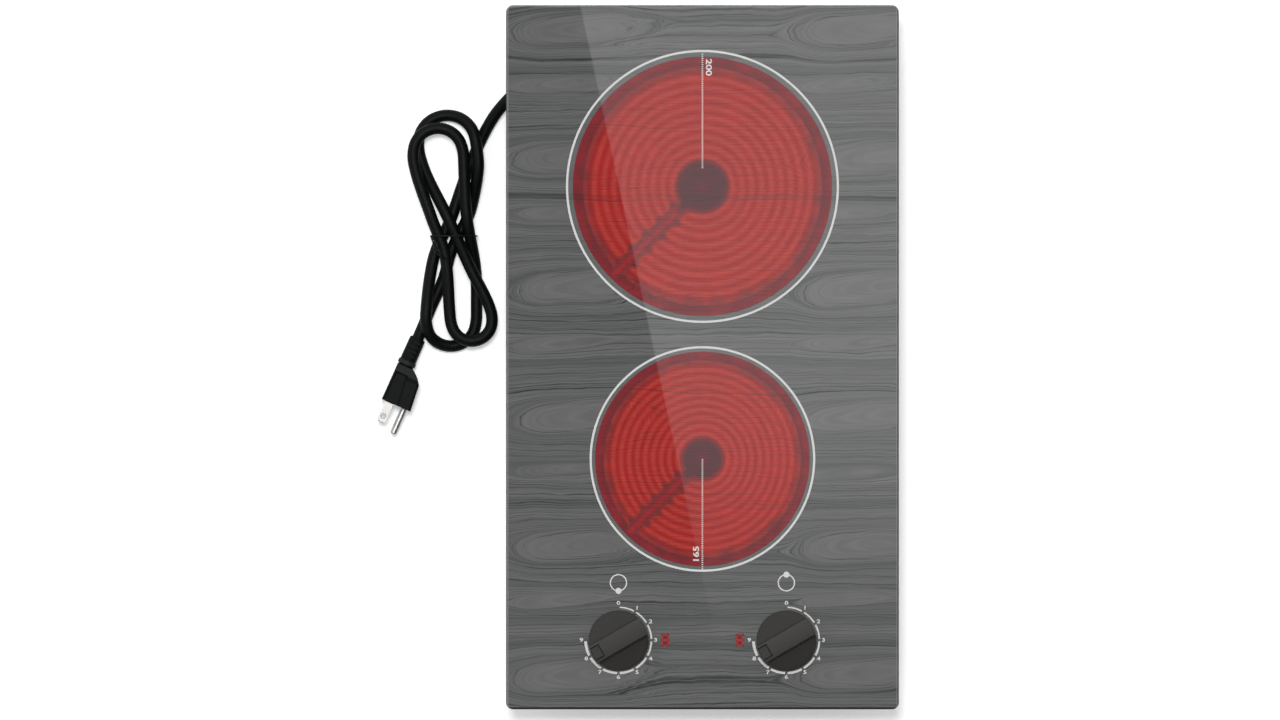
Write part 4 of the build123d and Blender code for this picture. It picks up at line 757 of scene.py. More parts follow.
def knot_family(tree, place, offset, left, right, half_height):
    """Pushes the grain's lines round one family of knots. In each cell of the pitch, with x counted from
    the knot's middle and y from its tilted middle line, F = y^2 - b^2 exp(-(x/a)^4) (1 - (2y/pitch)^2),
    where a is the half length to the left or to the right: lines outside follow the signed root of F, lines
    inside close round the middle. Returns the pushed place and the depth inside a knot."""
    half = (KNOT_PITCH[0] / 2, KNOT_PITCH[1] / 2, 1.0)
    moved = node(tree, "VectorMath", place, (*offset, 0.0), operation="SUBTRACT")
    local = node(tree, "VectorMath", moved, half, [-value for value in half], operation="WRAP")
    local = node(tree, "SeparateXYZ", local)
    height = node(tree, "Math", local.outputs["X"], -KNOT_TILT, local.outputs["Y"], operation="MULTIPLY_ADD")
    ahead = node(tree, "Math", local.outputs["X"], 1 / right, operation="MULTIPLY")
    behind = node(tree, "Math", local.outputs["X"], -1 / left, operation="MULTIPLY")
    power = node(tree, "Math", node(tree, "Math", ahead, behind, operation="MAXIMUM"), 4.0, operation="POWER")
    swell = node(tree, "Math", node(tree, "Math", power, -1.0, operation="MULTIPLY"), operation="EXPONENT")
    square = node(tree, "Math", height, height, operation="MULTIPLY")
    fade = node(tree, "Math", square, -1 / half[1] ** 2, 1.0, operation="MULTIPLY_ADD")
    reach = node(tree, "Math", swell, fade, operation="MULTIPLY")
    field = node(tree, "Math", reach, -half_height ** 2, square, operation="MULTIPLY_ADD")
    depth = node(tree, "Math", node(tree, "Math", field, operation="ABSOLUTE"), operation="SQRT")
    side = node(tree, "Math", height, operation="SIGN")
    inside = node(tree, "Math", field, 0.0, operation="LESS_THAN")
    other = node(tree, "Math", 1.0, side, operation="SUBTRACT")
    way = node(tree, "Math", inside, other, side, operation="MULTIPLY_ADD")
    bent = node(tree, "Math", way, depth, operation="MULTIPLY")
    push = node(tree, "Math", bent, height, operation="SUBTRACT")
    pushed = node(tree, "VectorMath", place, node(tree, "CombineXYZ", 0.0, push, 0.0), operation="ADD")
    return pushed, node(tree, "Math", inside, depth, operation="MULTIPLY")


def stretched(tree, place, size, detail):
    """Level noise with blotches of a size along and across the grain."""
    scaled = node(tree, "VectorMath", place, (1 / size[0], 1 / size[1], 0.0), operation="MULTIPLY")
    return node(tree, "TexNoise", noise_dimensions="2D",
                sockets={"Vector": scaled, "Scale": 1.0, "Detail": detail})


def wood_grain(tree, place, settings):
    """Tone of the printed grain and the strength of its lines, from a place in millimetres.

    A long drift bends the lines and a short jag frays the knots' right ends. Knots and flatter lenses push
    the lines aside. With q the count of line spacings, each whole number of q starts a dark line that
    fades over a share of the spacing; a random number for each line sets its strength, and a noise along
    it lets it swell and die out. Hair lines run between them, over broad bands and fine streaks."""
    spacing = settings.line_spacing / MM
    size, tall = settings.knot_length / MM, settings.knot_height / MM
    level = node(tree, "SeparateXYZ", place).outputs
    drift = stretched(tree, place, DRIFT_SIZE, 1.0).outputs["Color"]
    centred = node(tree, "VectorMath", drift, (0.5, 0.5, 0.5), operation="SUBTRACT")
    shift = node(tree, "VectorMath", centred, DRIFT_SHIFT, operation="MULTIPLY")
    warped = node(tree, "VectorMath", place, shift, operation="ADD")
    fray = node(tree, "TexNoise", noise_dimensions="1D",
                sockets={"W": level["Y"], "Scale": 1 / JAG_SIZE, "Detail": 2.0})
    jag = node(tree, "MapRange", fray, 0.0, 1.0, -JAG_SHIFT, JAG_SHIFT)
    turn = node(tree, "Math", level["X"], KNOT_PLACE[0], operation="SUBTRACT")
    turn = node(tree, "Math", turn, 2 * math.pi / KNOT_PITCH[0], operation="MULTIPLY")
    turn = node(tree, "Math", turn, operation="SINE")
    frayed_end = node(tree, "MapRange", turn, *JAG_RANGE, *JAG_LEVELS)
    jag = node(tree, "Math", jag, frayed_end, operation="MULTIPLY")
    warped = node(tree, "VectorMath", warped, node(tree, "CombineXYZ", jag, 0.0, 0.0), operation="ADD")
    lines, core = knot_family(tree, warped, KNOT_PLACE, size, KNOT_RIGHT * size, tall)
    lines, lens = knot_family(tree, lines, LENS_PLACE, LENS_LEFT * size, size, LENS_HEIGHT * tall)
    ripple = stretched(tree, place, RIPPLE_SIZE, 2.0)
    ripple = node(tree, "MapRange", ripple, 0.0, 1.0, -RIPPLE_SHIFT, RIPPLE_SHIFT)
    height = node(tree, "Math", ripple, node(tree, "SeparateXYZ", lines).outputs["Y"], operation="ADD")
    uneven, hairs, broad = (
        node(tree, "TexNoise", noise_dimensions="1D", sockets={"W": height, "Scale": scale, "Detail": 1.0})
        for scale in (1 / UNEVEN_SIZE, HAIR_COUNT / spacing, BAND_COUNT / spacing))
    uneven = node(tree, "MapRange", uneven, 0.0, 1.0, -UNEVEN_SHIFT, UNEVEN_SHIFT)
    count = node(tree, "Math", height, 1 / spacing, uneven, operation="MULTIPLY_ADD")
    number = node(tree, "TexWhiteNoise", noise_dimensions="1D",
                  sockets={"W": node(tree, "Math", count, operation="FLOOR")})
    past = node(tree, "Math", count, operation="FRACT")
    waver = stretched(tree, lines, WAVER_SIZE, 2.0)
    swelling = node(tree, "MapRange", waver, *WAVER_RANGE, *WAVER_LEVELS)
    width = node(tree, "MapRange", swelling, 0.0, 1.0, *LINE_WIDTHS)
    bold = node(tree, "MapRange", past, LINE_START, width, 1.0, 0.0)
    for source, strengths in ((number, LINE_STRENGTHS), (swelling, SWELL_STRENGTHS)):
        part = node(tree, "MapRange", source, 0.0, 1.0, *strengths)
        bold = node(tree, "Math", bold, part, operation="MULTIPLY")
    hair = node(tree, "MapRange", hairs, *HAIR_RANGE, HAIR_STRENGTH, 0.0)
    fading = node(tree, "MapRange", waver, *HAIR_FADE, *HAIR_LEVELS)
    hair = node(tree, "Math", hair, fading, operation="MULTIPLY")
    strength = node(tree, "Math", bold, hair, operation="MAXIMUM")
    open_core = node(tree, "MapRange", core, CORE_OPEN[0] * tall, CORE_OPEN[1] * tall, 1.0, 0.0)
    open_lens = node(tree, "MapRange", lens, *LENS_OPEN, *LENS_STRENGTHS)
    for part in (open_core, open_lens):
        strength = node(tree, "Math", strength, part, operation="MULTIPLY")
    band = node(tree, "MapRange", broad, *BAND_RANGE, 0.0, 1.0)
    tone = node(tree, "MixRGB", band, settings.shade, settings.tone)
    pale = node(tree, "Math", lens, LENS_PALE, operation="MULTIPLY")
    pale = node(tree, "Math", core, pale, operation="MAXIMUM")
    pale = node(tree, "MapRange", pale, *PALE_DEPTH, 0.0, PALE_SHARE)
    tone = node(tree, "MixRGB", pale, tone, settings.tone)
    streak = stretched(tree, lines, STREAK_SIZE, 2.0)
    streak = node(tree, "MapRange", streak, *NOISE_SPREAD, *STREAK_LEVELS)
    tone = node(tree, "VectorMath", tone, sockets={"Scale": streak}, operation="SCALE")
    return node(tree, "MixRGB", strength, tone, settings.line), strength


def printed_glass(settings):
    # Glass-ceramic: rolled and polished, so a mirror-like face over a screen-printed grey wood grain; the
    # ink leaves the heaters and the digits open, where the tinted glass lets the red through.
    made, tree = new_material("printed_glass_ceramic")
    place = node(tree, "TexCoord").outputs["Object"]
    level = node(tree, "VectorMath", place, (1 / MM, 1 / MM, 0.0), operation="MULTIPLY")
    tone, strength = wood_grain(tree, level, settings)
    opened = None
    for zone in ZONES:
        centre = (zone.centre.x / MM, zone.centre.y / MM, 0.0)
        reach = node(tree, "VectorMath", level, centre, operation="DISTANCE").outputs["Value"]
        # Painted shadow: a darker greyish line just outside each printed ring.
        ring = node(tree, "MapRange", reach, zone.ring / MM, zone.ring / MM + RING_SHADOW, RING_SHADOW_SHARE, 0.0)
        tone = node(tree, "MixRGB", ring, tone, linear("#646866"))
        open_radius = zone.glow / MM + GLOW_MARGIN
        glow = node(tree, "MapRange", reach, open_radius - OPEN_FADE, open_radius, 1.0, 0.0)
        opened = node(tree, "Math", opened, glow, operation="MAXIMUM") if opened else glow
    for side in SIDES:
        low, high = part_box("digit_segments_" + side)
        centre, half = (low + high) / 2 / MM, (high - low) / 2 / MM
        half += Vector((DIGIT_MARGIN, DIGIT_MARGIN, 0))
        away = node(tree, "VectorMath", level, (centre.x, centre.y, 0.0), operation="SUBTRACT")
        away = node(tree, "VectorMath", away, operation="ABSOLUTE")
        away = node(tree, "VectorMath", away, (half.x, half.y, 1.0), operation="SUBTRACT")
        away = node(tree, "SeparateXYZ", away).outputs
        outside = node(tree, "Math", away["X"], away["Y"], operation="MAXIMUM")
        window = node(tree, "Math", outside, 0.0, operation="LESS_THAN")
        opened = node(tree, "Math", opened, window, operation="MAXIMUM")
    tone = node(tree, "MixRGB", opened, tone, linear("#2c2626"))
    reach = node(tree, "SeparateXYZ", level)
    across = node(tree, "Math", reach.outputs["X"], operation="ABSOLUTE")
    side = node(tree, "Math", GLASS_HALF.x / MM, across, operation="SUBTRACT")
    rear = node(tree, "Math", GLASS_HALF.y / MM, reach.outputs["Y"], operation="SUBTRACT")
    front = node(tree, "Math", GLASS_HALF.y / MM, reach.outputs["Y"], operation="ADD")
    # Painted highlight: a pale line just inside the rim along the sides.
    painted_highlight = node(tree, "Math", side, RIM_HIGHLIGHT_LINE, operation="SUBTRACT")
    painted_highlight = node(tree, "Math", painted_highlight, operation="ABSOLUTE")
    painted_highlight = node(tree, "MapRange", painted_highlight, *HIGHLIGHT_HALF, HIGHLIGHT_SHARE, 0.0)
    tone = node(tree, "MixRGB", painted_highlight, tone, linear("#8a8c8c"))
    # Painted dark reflection along the ground rim, widest at the front.
    inset = None
    for distance, width in zip((side, rear, front), DARK_RIM_WIDTHS):
        part = node(tree, "Math", distance, width, operation="DIVIDE")
        inset = node(tree, "Math", inset, part, operation="MINIMUM") if inset else part
    tone = node(tree, "MixRGB", node(tree, "MapRange", inset, *DARK_RIM_FADE, 1.0, 0.0), tone, settings.edge)
    veil = node(tree, "MapRange", strength, 0.0, 1.0, settings.tint, settings.tint + GRAIN_VEIL)
    upper = node(tree, "Math", node(tree, "SeparateXYZ", place).outputs["Z"], GLASS_MIDDLE.z,
                 operation="GREATER_THAN")
    held = node(tree, "Math", veil, upper, operation="MULTIPLY")
    clear = node(tree, "Math", 1.0, held, operation="SUBTRACT")
    clear = node(tree, "Math", opened, clear, operation="MULTIPLY")
    alpha = node(tree, "Math", 1.0, clear, operation="SUBTRACT")
    shader = node(tree, "BsdfPrincipled", sockets={
        "Base Color": tone, "Roughness": GLASS_ROUGHNESS, "IOR": GLASS_IOR, "Alpha": alpha})
    node(tree, "OutputMaterial", shader)
    return made


def printing_ink():
    # Ceramic ink: fired onto the glass, so hard, pale and half matt, with slightly uneven cover.
    return grained("fired_ceramic_ink", ("#b0b0ae", "#c0c0be"), 3.0, (0.35, 0.5))


def zone_frame(tree, zone):
    """Level place from a zone's centre in millimetres, its distance from there, and its place along and
    across the limiter."""
    place = node(tree, "TexCoord").outputs["Object"]
    away = node(tree, "VectorMath", place, zone.centre, operation="SUBTRACT")
    level = node(tree, "VectorMath", away, (1 / MM, 1 / MM, 0.0), operation="MULTIPLY")
    reach = node(tree, "VectorMath", level, operation="LENGTH").outputs["Value"]
    turned = node(tree, "VectorRotate", level, sockets={"Angle": -LIMITER_ANGLE}, rotation_type="Z_AXIS")
    turned = node(tree, "SeparateXYZ", turned)
    return level, reach, turned.outputs["X"], turned.outputs["Y"]


def frayed(tree, level, reach, size, shift):
    """A distance moved in and out by a noise of a size in millimetres."""
    fray = node(tree, "TexNoise", sockets={"Vector": level, "Scale": 1 / size, "Detail": 3.0})
    fray = node(tree, "MapRange", fray, *NOISE_SPREAD, -shift, shift)
    return node(tree, "Math", fray, reach, operation="ADD")


def limiter_strip(tree, zone, along, across):
    """1 in the unheated strip beside the limiter. Its edge stands in at each hairpin and out between two,
    on alternate sides, by a cosine with one turn for each pair of ribbon turns."""
    first = (zone.first_turn + zone.pitch / 2) / MM
    turn = node(tree, "Math", along, first, operation="SUBTRACT")
    turn = node(tree, "Math", turn, math.pi / (zone.pitch / MM), operation="MULTIPLY")
    wave = node(tree, "Math", node(tree, "Math", turn, operation="COSINE"),
                node(tree, "Math", across, operation="SIGN"), operation="MULTIPLY")
    edge = node(tree, "MapRange", wave, -1.0, 1.0, *STRIP_HALF)
    over = node(tree, "Math", node(tree, "Math", across, operation="ABSOLUTE"), edge, operation="SUBTRACT")
    strip = node(tree, "MapRange", over, -STRIP_FADE, STRIP_FADE, 1.0, 0.0)
    ahead = node(tree, "MapRange", along, 0.0, STRIP_START, 0.0, 1.0)
    return node(tree, "Math", strip, ahead, operation="MULTIPLY")


def glow_surface(tree, glow, strength, tone="#2a1512", roughness=0.9):
    """Dark matt surface that gives out a colour."""
    shader = node(tree, "BsdfPrincipled", sockets={
        "Base Color": linear(tone), "Roughness": roughness, "Specular IOR Level": 0.1,
        "Emission Color": glow, "Emission Strength": strength})
    node(tree, "OutputMaterial", shader)


def mottled(tree, place, tone, grain, least, most):
    """A colour whose brightness varies in blotches of a size in millimetres."""
    blotch = node(tree, "TexNoise", sockets={"Vector": place, "Scale": 1 / grain, "Detail": 4.0})
    level = node(tree, "MapRange", blotch, *NOISE_SPREAD, least, most)
    return node(tree, "VectorMath", tone[:3], sockets={"Scale": level}, operation="SCALE")


def glowing_floor(zone, settings):
    # Pressed fumed-silica insulation: white and powdery, but lit red all over by the ribbon that lies on it;
    # most orange under each turn, and falling off towards the ring, over the hub and beside the limiter.
    made, tree = new_material("lit_insulation_floor_" + zone.name)
    level, reach, along, across = zone_frame(tree, zone)
    radius, hub, pitch = zone.glow / MM, zone.hub / MM, zone.pitch / MM
    dull = mottled(tree, level, settings.floor, *FLOOR_BLOTCH)
    bright = mottled(tree, level, settings.ribbon, *TURN_BLOTCH)
    turn = node(tree, "Math", reach, zone.first_turn / MM, operation="SUBTRACT")
    turn = node(tree, "Math", turn, 2 * math.pi / pitch, operation="MULTIPLY")
    halo = node(tree, "MapRange", node(tree, "Math", turn, operation="COSINE"), -1.0, 1.0, 0.0, 1.0)
    glow = node(tree, "MixRGB", halo, dull, bright)
    edge = node(tree, "MapRange", frayed(tree, level, reach, *FLOOR_FRAY), FLOOR_EDGE[0] * radius,
                FLOOR_EDGE[1] * radius, 0.0, FLOOR_EDGE_SHADE)
    over_hub = node(tree, "MapRange", reach, HUB_EDGE[0] * hub, HUB_EDGE[1] * hub, 1.0, 0.0,
                    interpolation_type="SMOOTHSTEP")
    shaded = limiter_strip(tree, zone, along, across)
    shaded = node(tree, "Math", shaded, STRIP_SHADE, operation="MULTIPLY")
    for part in (edge, over_hub):
        shaded = node(tree, "Math", shaded, part, operation="MAXIMUM")
    glow = node(tree, "MixRGB", shaded, glow, settings.hub)
    spot = node(tree, "MapRange", reach, *HUB_SPOT, HUB_SPOT_SHARE, 0.0)
    glow = node(tree, "MixRGB", spot, glow, settings.rim)
    glow_surface(tree, glow, settings.strength)
    return made


def glowing_strip(zone, settings):
    # Iron-chrome-aluminium strip: rolled and corrugated, so an even orange-red glow with small hot spots; its
    # leads beside the limiter stay dark.
    made, tree = new_material("glowing_heating_strip_" + zone.name)
    level, _, along, across = zone_frame(tree, zone)
    glow = mottled(tree, level, settings.ribbon, *STRIP_BLOTCH)
    lead = node(tree, "Math", across, operation="ABSOLUTE")
    lead = node(tree, "MapRange", lead, *LEAD_HALF, LEAD_SHADE, 0.0)
    ahead = node(tree, "MapRange", along, 0.0, STRIP_START, 0.0, 1.0)
    lead = node(tree, "Math", lead, ahead, operation="MULTIPLY")
    glow_surface(tree, node(tree, "MixRGB", lead, glow, settings.hub), settings.strength)
    return made


def glowing_ring(zone, settings):
    # Vermiculite ring: pressed and rough, dark at its foot and lit dimly up its sloping wall.
    made, tree = new_material("lit_insulation_ring_" + zone.name)
    level, reach, _, _ = zone_frame(tree, zone)
    radius = zone.glow / MM
    glow = mottled(tree, level, settings.rim, *RING_BLOTCH)
    foot = node(tree, "MapRange", frayed(tree, level, reach, *RING_FRAY), RING_FOOT[0] * radius,
                RING_FOOT[1] * radius, RING_FOOT_SHADE, 0.0)
    glow_surface(tree, node(tree, "MixRGB", foot, glow, settings.hub), settings.strength)
    return made


def glowing_tube(zone, settings):
    # Quartz tube: drawn and clear, so it shows as a soft red line of light along its middle, fading out
    # over the hub.
    made, tree = new_material("lit_quartz_tube_" + zone.name)
    level, reach, _, across = zone_frame(tree, zone)
    hub = zone.hub / MM
    glow = mottled(tree, level, settings.limiter, *TUBE_BLOTCH)
    side = node(tree, "Math", across, operation="ABSOLUTE")
    side = node(tree, "MapRange", side, *TUBE_HALF, *TUBE_SHADES)
    over_hub = node(tree, "MapRange", reach, hub, TUBE_HUB * hub, 1.0, 0.0)
    shaded = node(tree, "Math", side, over_hub, operation="MAXIMUM")
    glow_surface(tree, node(tree, "MixRGB", shaded, glow, settings.hub), settings.strength)
    return made


def glowing(name, tones, grain, strength):
    """Matt dark surface that glows, mottled between two colours by a noise of a size in millimetres."""
    made, tree = new_material(name)
    place = node(tree, "TexCoord").outputs["Object"]
    noise = node(tree, "TexNoise", sockets={"Vector": place, "Scale": 1 / (grain * MM), "Detail": 3.0})
    spread = node(tree, "MapRange", noise, *NOISE_SPREAD, 0.0, 1.0)
    glow = node(tree, "MixRGB", spread, linear(tones[0]), linear(tones[1]))
    glow_surface(tree, glow, strength, tone="#241412", roughness=0.8)
    return made


class COOKTOP_OT_stage(bpy.types.Operator):
    """Camera straight above, soft sun a little to the rear of it, reflected panel and pale floor."""

    bl_idname = "cooktop.stage"
    bl_label = "Set up the studio"

    def execute(self, context):
        settings = context.scene.cooktop_stage
        scene = context.scene
        scene.view_settings.view_transform = "Standard"
        camera = bpy.data.objects.new("camera", bpy.data.cameras.new("camera"))
        camera.data.type = "ORTHO"
        camera.data.ortho_scale = settings.view_width
        camera.location = (*settings.view_centre, CAMERA_HEIGHT)
        scene.collection.objects.link(camera)
        scene.camera = camera
        sun = bpy.data.objects.new("sun", bpy.data.lights.new("sun", "SUN"))
        sun.data.energy = settings.sun
        sun.data.angle = SUN_SPREAD
        sun.rotation_euler = Vector(SUN_SIDE).to_track_quat("Z", "Y").to_euler()
        scene.collection.objects.link(sun)
        pale_world(settings)
        floor = level_sheet("floor", FLOOR_WIDTH, FLOOR_WIDTH, FLOOR_LEVEL, pale_floor())
        panel = level_sheet("reflected_panel", *PANEL_SIZE, PANEL_LEVEL, panel_light(settings))
        for ray in ("camera", "diffuse", "transmission", "shadow", "volume_scatter"):
            setattr(panel, "visible_" + ray, False)
        return {"FINISHED"}


def pale_world(settings):
    """White for rays that show the background. Rays that light the object or shine on it meet a sky that
    is brighter to the rear left than to the front right: 1 + slope (d . l), with d the ray's direction and
    l the level direction of the light."""
    world = bpy.data.worlds.new("studio")
    world.use_nodes = True
    tree = world.node_tree
    tree.nodes.clear()
    path = node(tree, "LightPath").outputs
    way = node(tree, "TexCoord").outputs["Generated"]
    lean = node(tree, "VectorMath", way, SKY_SIDE, operation="DOT_PRODUCT").outputs["Value"]
    lean = node(tree, "Math", lean, settings.sky_slope, 1.0, operation="MULTIPLY_ADD")
    level = node(tree, "MapRange", path["Is Glossy Ray"], 0.0, 1.0, settings.sky, 1.0)
    level = node(tree, "Math", level, lean, operation="MULTIPLY")
    seen = node(tree, "Math", path["Is Camera Ray"], path["Is Transmission Ray"], operation="MAXIMUM")
    strength = node(tree, "MapRange", seen, 0.0, 1.0, level, 1.0)
    node(tree, "OutputWorld", node(tree, "Background", (1, 1, 1, 1), strength))
    bpy.context.scene.world = world


def pale_floor():
    # Painted studio floor: matt and pale; for rays that show it, its own light lifts it to white where no
    # shadow falls.
    made, tree = new_material("pale_studio_floor")
    path = node(tree, "LightPath").outputs
    shown = node(tree, "Math", path["Is Camera Ray"], path["Is Glossy Ray"], operation="MAXIMUM")
    shown = node(tree, "Math", shown, path["Is Transmission Ray"], operation="MAXIMUM")
    shader = node(tree, "BsdfPrincipled", sockets={
        "Base Color": linear("#e8e8e8"), "Roughness": 0.9, "Specular IOR Level": 0.0,
        "Emission Color": (FLOOR_LIFT, FLOOR_LIFT, FLOOR_LIFT, 1.0), "Emission Strength": shown})
    node(tree, "OutputMaterial", shader)
    return made


def panel_light(settings):
    # Studio diffuser panel: bright on one side of a slanted edge, and fading towards the front.
    made, tree = new_material("diffuser_panel")
    place = node(tree, "TexCoord").outputs["Object"]
    start, end = Vector(SHEEN_EDGE[0]), Vector(SHEEN_EDGE[1])
    way = (end - start).normalized()
    away = node(tree, "VectorMath", place, (*start, 0.0), operation="SUBTRACT")
    right = node(tree, "VectorMath", away, (-way.y, way.x, 0.0), operation="DOT_PRODUCT").outputs["Value"]
    bright = node(tree, "MapRange", right, -SHEEN_SOFT, SHEEN_SOFT, 0.0, 1.0)
    depth = node(tree, "SeparateXYZ", place).outputs["Y"]
    fade = node(tree, "MapRange", depth, SHEEN_END, SHEEN_FULL, 0.0, 1.0, interpolation_type="SMOOTHSTEP")
    level = node(tree, "Math", bright, fade, operation="MULTIPLY")
    strength = node(tree, "MapRange", level, 0.0, 1.0, settings.sheen_dark, settings.sheen)
    node(tree, "OutputMaterial", node(tree, "Emission", (1, 1, 1, 1), strength))
    return made


def level_sheet(name, width, depth, height, material):
    """Level rectangle centred under or over the object."""
    x, y = width / 2, depth / 2
    mesh = bpy.data.meshes.new(name)
    mesh.from_pydata([(-x, -y, height), (x, -y, height), (x, y, height), (-x, y, height)], [], [(0, 1, 2, 3)])
    mesh.materials.append(material)
    sheet = bpy.data.objects.new(name, mesh)
    bpy.context.scene.collection.objects.link(sheet)
    return sheet


class COOKTOP_OT_cord(bpy.types.Operator):
    """Mains cord in its figure-eight hank, and the wire tie round it."""

    bl_idname = "cooktop.cord"
    bl_label = "Lay the mains cord"

    def execute(self, context):
        settings = context.scene.cooktop_cord
        sheath = flexible_sheath()
        cord = mains_cord(settings)
        cord.data.materials.append(sheath)
        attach(cord, "base")
        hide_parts("cord_lead", "cord_hank", "cord_tail")
        wire = settings.tie_wire
        loop = rounded(TIE_OUTLINE, TIE_CORNER_CUT, closed=True) * MM
        ring = tube(loop, wire, WIRE_SIDES, (0, 1, 0), closed=True)
        ends = [tube(rounded(points, TIE_END_CUT) * MM, wire, WIRE_SIDES, (0, 0, 1)) for points in TIE_ENDS]
        tie = mesh_piece("wire_tie", [ring, *ends], tie_coating())
        tie.data.shade_smooth()
        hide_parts("cord_tie")
        return {"FINISHED"}


def flexible_sheath():
    # Flexible PVC sheath: extruded, so smooth along its length with a faint drag texture and a soft gloss.
    return grained("extruded_pvc_sheath", ("#030404", "#080a0a"), 2.2, (0.42, 0.55), relief=0.03,
                   Specular_IOR_Level=0.07)


def tie_coating():
    # Plastic-coated steel wire: thin, dark and a little shiny.
    return grained("coated_tie_wire", ("#040505", "#0b0d0d"), 1.5, (0.35, 0.5), relief=0.02,
                   Specular_IOR_Level=0.1)


class COOKTOP_OT_glass(bpy.types.Operator):
    """Printed glass top."""

    bl_idname = "cooktop.glass"
    bl_label = "Print the glass"

    def execute(self, context):
        paint(printed_glass(context.scene.cooktop_glass), "glass_top")
        return {"FINISHED"}


class COOKTOP_OT_marks(bpy.types.Operator):
    """Zone rings, dials, numbers and icons printed on the glass."""

    bl_idname = "cooktop.marks"
    bl_label = "Print the marks"

    def execute(self, context):
        settings = context.scene.cooktop_print
        ink = printing_ink()
        bed = (GLASS_HIGH.z - INK_BED, GLASS_HIGH.z + settings.thickness)
        for zone in ZONES:
            print_piece("zone_marks_" + zone.name, *zone_marks(zone, settings, bed), ink)
        for side in SIDES:
            print_piece("dial_marks_" + side, *dial_marks(side, settings, bed), ink)
        return {"FINISHED"}


class COOKTOP_OT_heaters(bpy.types.Operator):
    """Glowing ribbons, insulation and limiters."""

    bl_idname = "cooktop.heaters"
    bl_label = "Light the heaters"

    def execute(self, context):
        settings = context.scene.cooktop_heaters
        for zone in ZONES:
            heating_ribbon(zone, settings, glowing_strip(zone, settings))
            paint(glowing_floor(zone, settings), "insulation_base_" + zone.name)
            paint(glowing_ring(zone, settings), "insulation_ring_" + zone.name)
            paint(glowing_tube(zone, settings), "limiter_tube_" + zone.name)
        return {"FINISHED"}


class COOKTOP_OT_controls(bpy.types.Operator):
    """Knobs, their markers and the lit digits."""

    bl_idname = "cooktop.controls"
    bl_label = "Finish the controls"

    def execute(self, context):
        # ABS insert: smoother and darker than the knob that it is pressed into.
        marker = grained("moulded_abs_insert", ("#1d1e1a", "#252621"), 1.4, (0.4, 0.5), relief=0.01,
                         Specular_IOR_Level=0.13)
        for side in SIDES:
            paint(moulded_knob(side), "knob_" + side)
            paint(marker, "knob_marker_" + side)
            # LED segments: red light through a moulded diffuser, slightly uneven.
            lit = glowing("lit_led_segments_" + side, ("#e0464a", "#f25052"), grain=2.0, strength=1.3)
            paint(lit, "digit_segments_" + side)
            # Polyester display face: matt, and dull red from the light that leaks between its segments.
            face = glowing("leaking_display_face_" + side, ("#a04848", "#ac4e4e"), grain=2.0, strength=1.0)
            paint(face, "digit_display_" + side)
        return {"FINISHED"}


def retone(made, mask, tone):
    """Lays another tone on a grained surface where a mask is 1."""
    tree = made.node_tree
    shader = tree.nodes["Principled BSDF"]
    under = shader.inputs["Base Color"].links[0].from_socket
    tree.links.new(node(tree, "MixRGB", mask, under, linear(tone)).outputs[0], shader.inputs["Base Color"])


def moulded_knob(side):
    # ABS: moulded in a spark-eroded tool, so dark grey, satin and very finely pitted, pits drawn coarse;
    # the groove round its marker is painted near black as shade.
    made = grained("moulded_abs_" + side, ("#2c2b29", "#333230"), 0.9, (0.44, 0.56), relief=0.015,
                   Specular_IOR_Level=0.13)
    tree = made.node_tree
    place = node(tree, "TexCoord").outputs["Object"]
    away = node(tree, "VectorMath", place, middle("knob_" + side), operation="SUBTRACT")
    turned = node(tree, "VectorRotate", away, sockets={"Angle": KNOB_TURN}, rotation_type="Z_AXIS")
    turned = node(tree, "SeparateXYZ", turned).outputs
    beside = node(tree, "Math", turned["X"], operation="ABSOLUTE")
    beside = node(tree, "Math", beside, SHADED_RECESS_HALF, operation="LESS_THAN")
    ahead = node(tree, "Math", turned["Y"], SHADED_RECESS_START, operation="GREATER_THAN")
    # Painted shade: the groove round the marker is near black.
    retone(made, node(tree, "Math", beside, ahead, operation="MULTIPLY"), "#040404")
    return made


class COOKTOP_OT_plug(bpy.types.Operator):
    """Moulded plug, its blades and earth pin, and the cord's bushing."""

    bl_idname = "cooktop.plug"
    bl_label = "Finish the plug"

    def execute(self, context):
        paint(moulded_plug(), "plug_body")
        paint(plated_blade(), "plug_blades")
        # Nickel-plated brass: rolled tube, barrel-plated, so bright with faint rolling lines.
        nickel = grained("nickel_plated_tube", ("#949390", "#9e9d9a"), 6.0, (0.28, 0.34), stretch=(1, 4, 1),
                         Metallic=1.0)
        paint(nickel, "plug_earth_pin")
        # Nylon: moulded bushing, black and satin.
        nylon = grained("moulded_black_nylon", ("#121313", "#1c1e1e"), 1.8, (0.4, 0.52), relief=0.015)
        paint(nylon, "cord_bushing")
        return {"FINISHED"}


def plug_frame(tree):
    """Place along the plug from its boot and across it towards the earth pin, in millimetres."""
    place = node(tree, "TexCoord").outputs["Object"]
    away = node(tree, "VectorMath", place, PLUG_START, operation="SUBTRACT")
    away = node(tree, "VectorMath", away, sockets={"Scale": 1 / MM}, operation="SCALE")
    ways = (PLUG_WAY, PLUG_ACROSS)
    return [node(tree, "VectorMath", away, way, operation="DOT_PRODUCT").outputs["Value"] for way in ways]


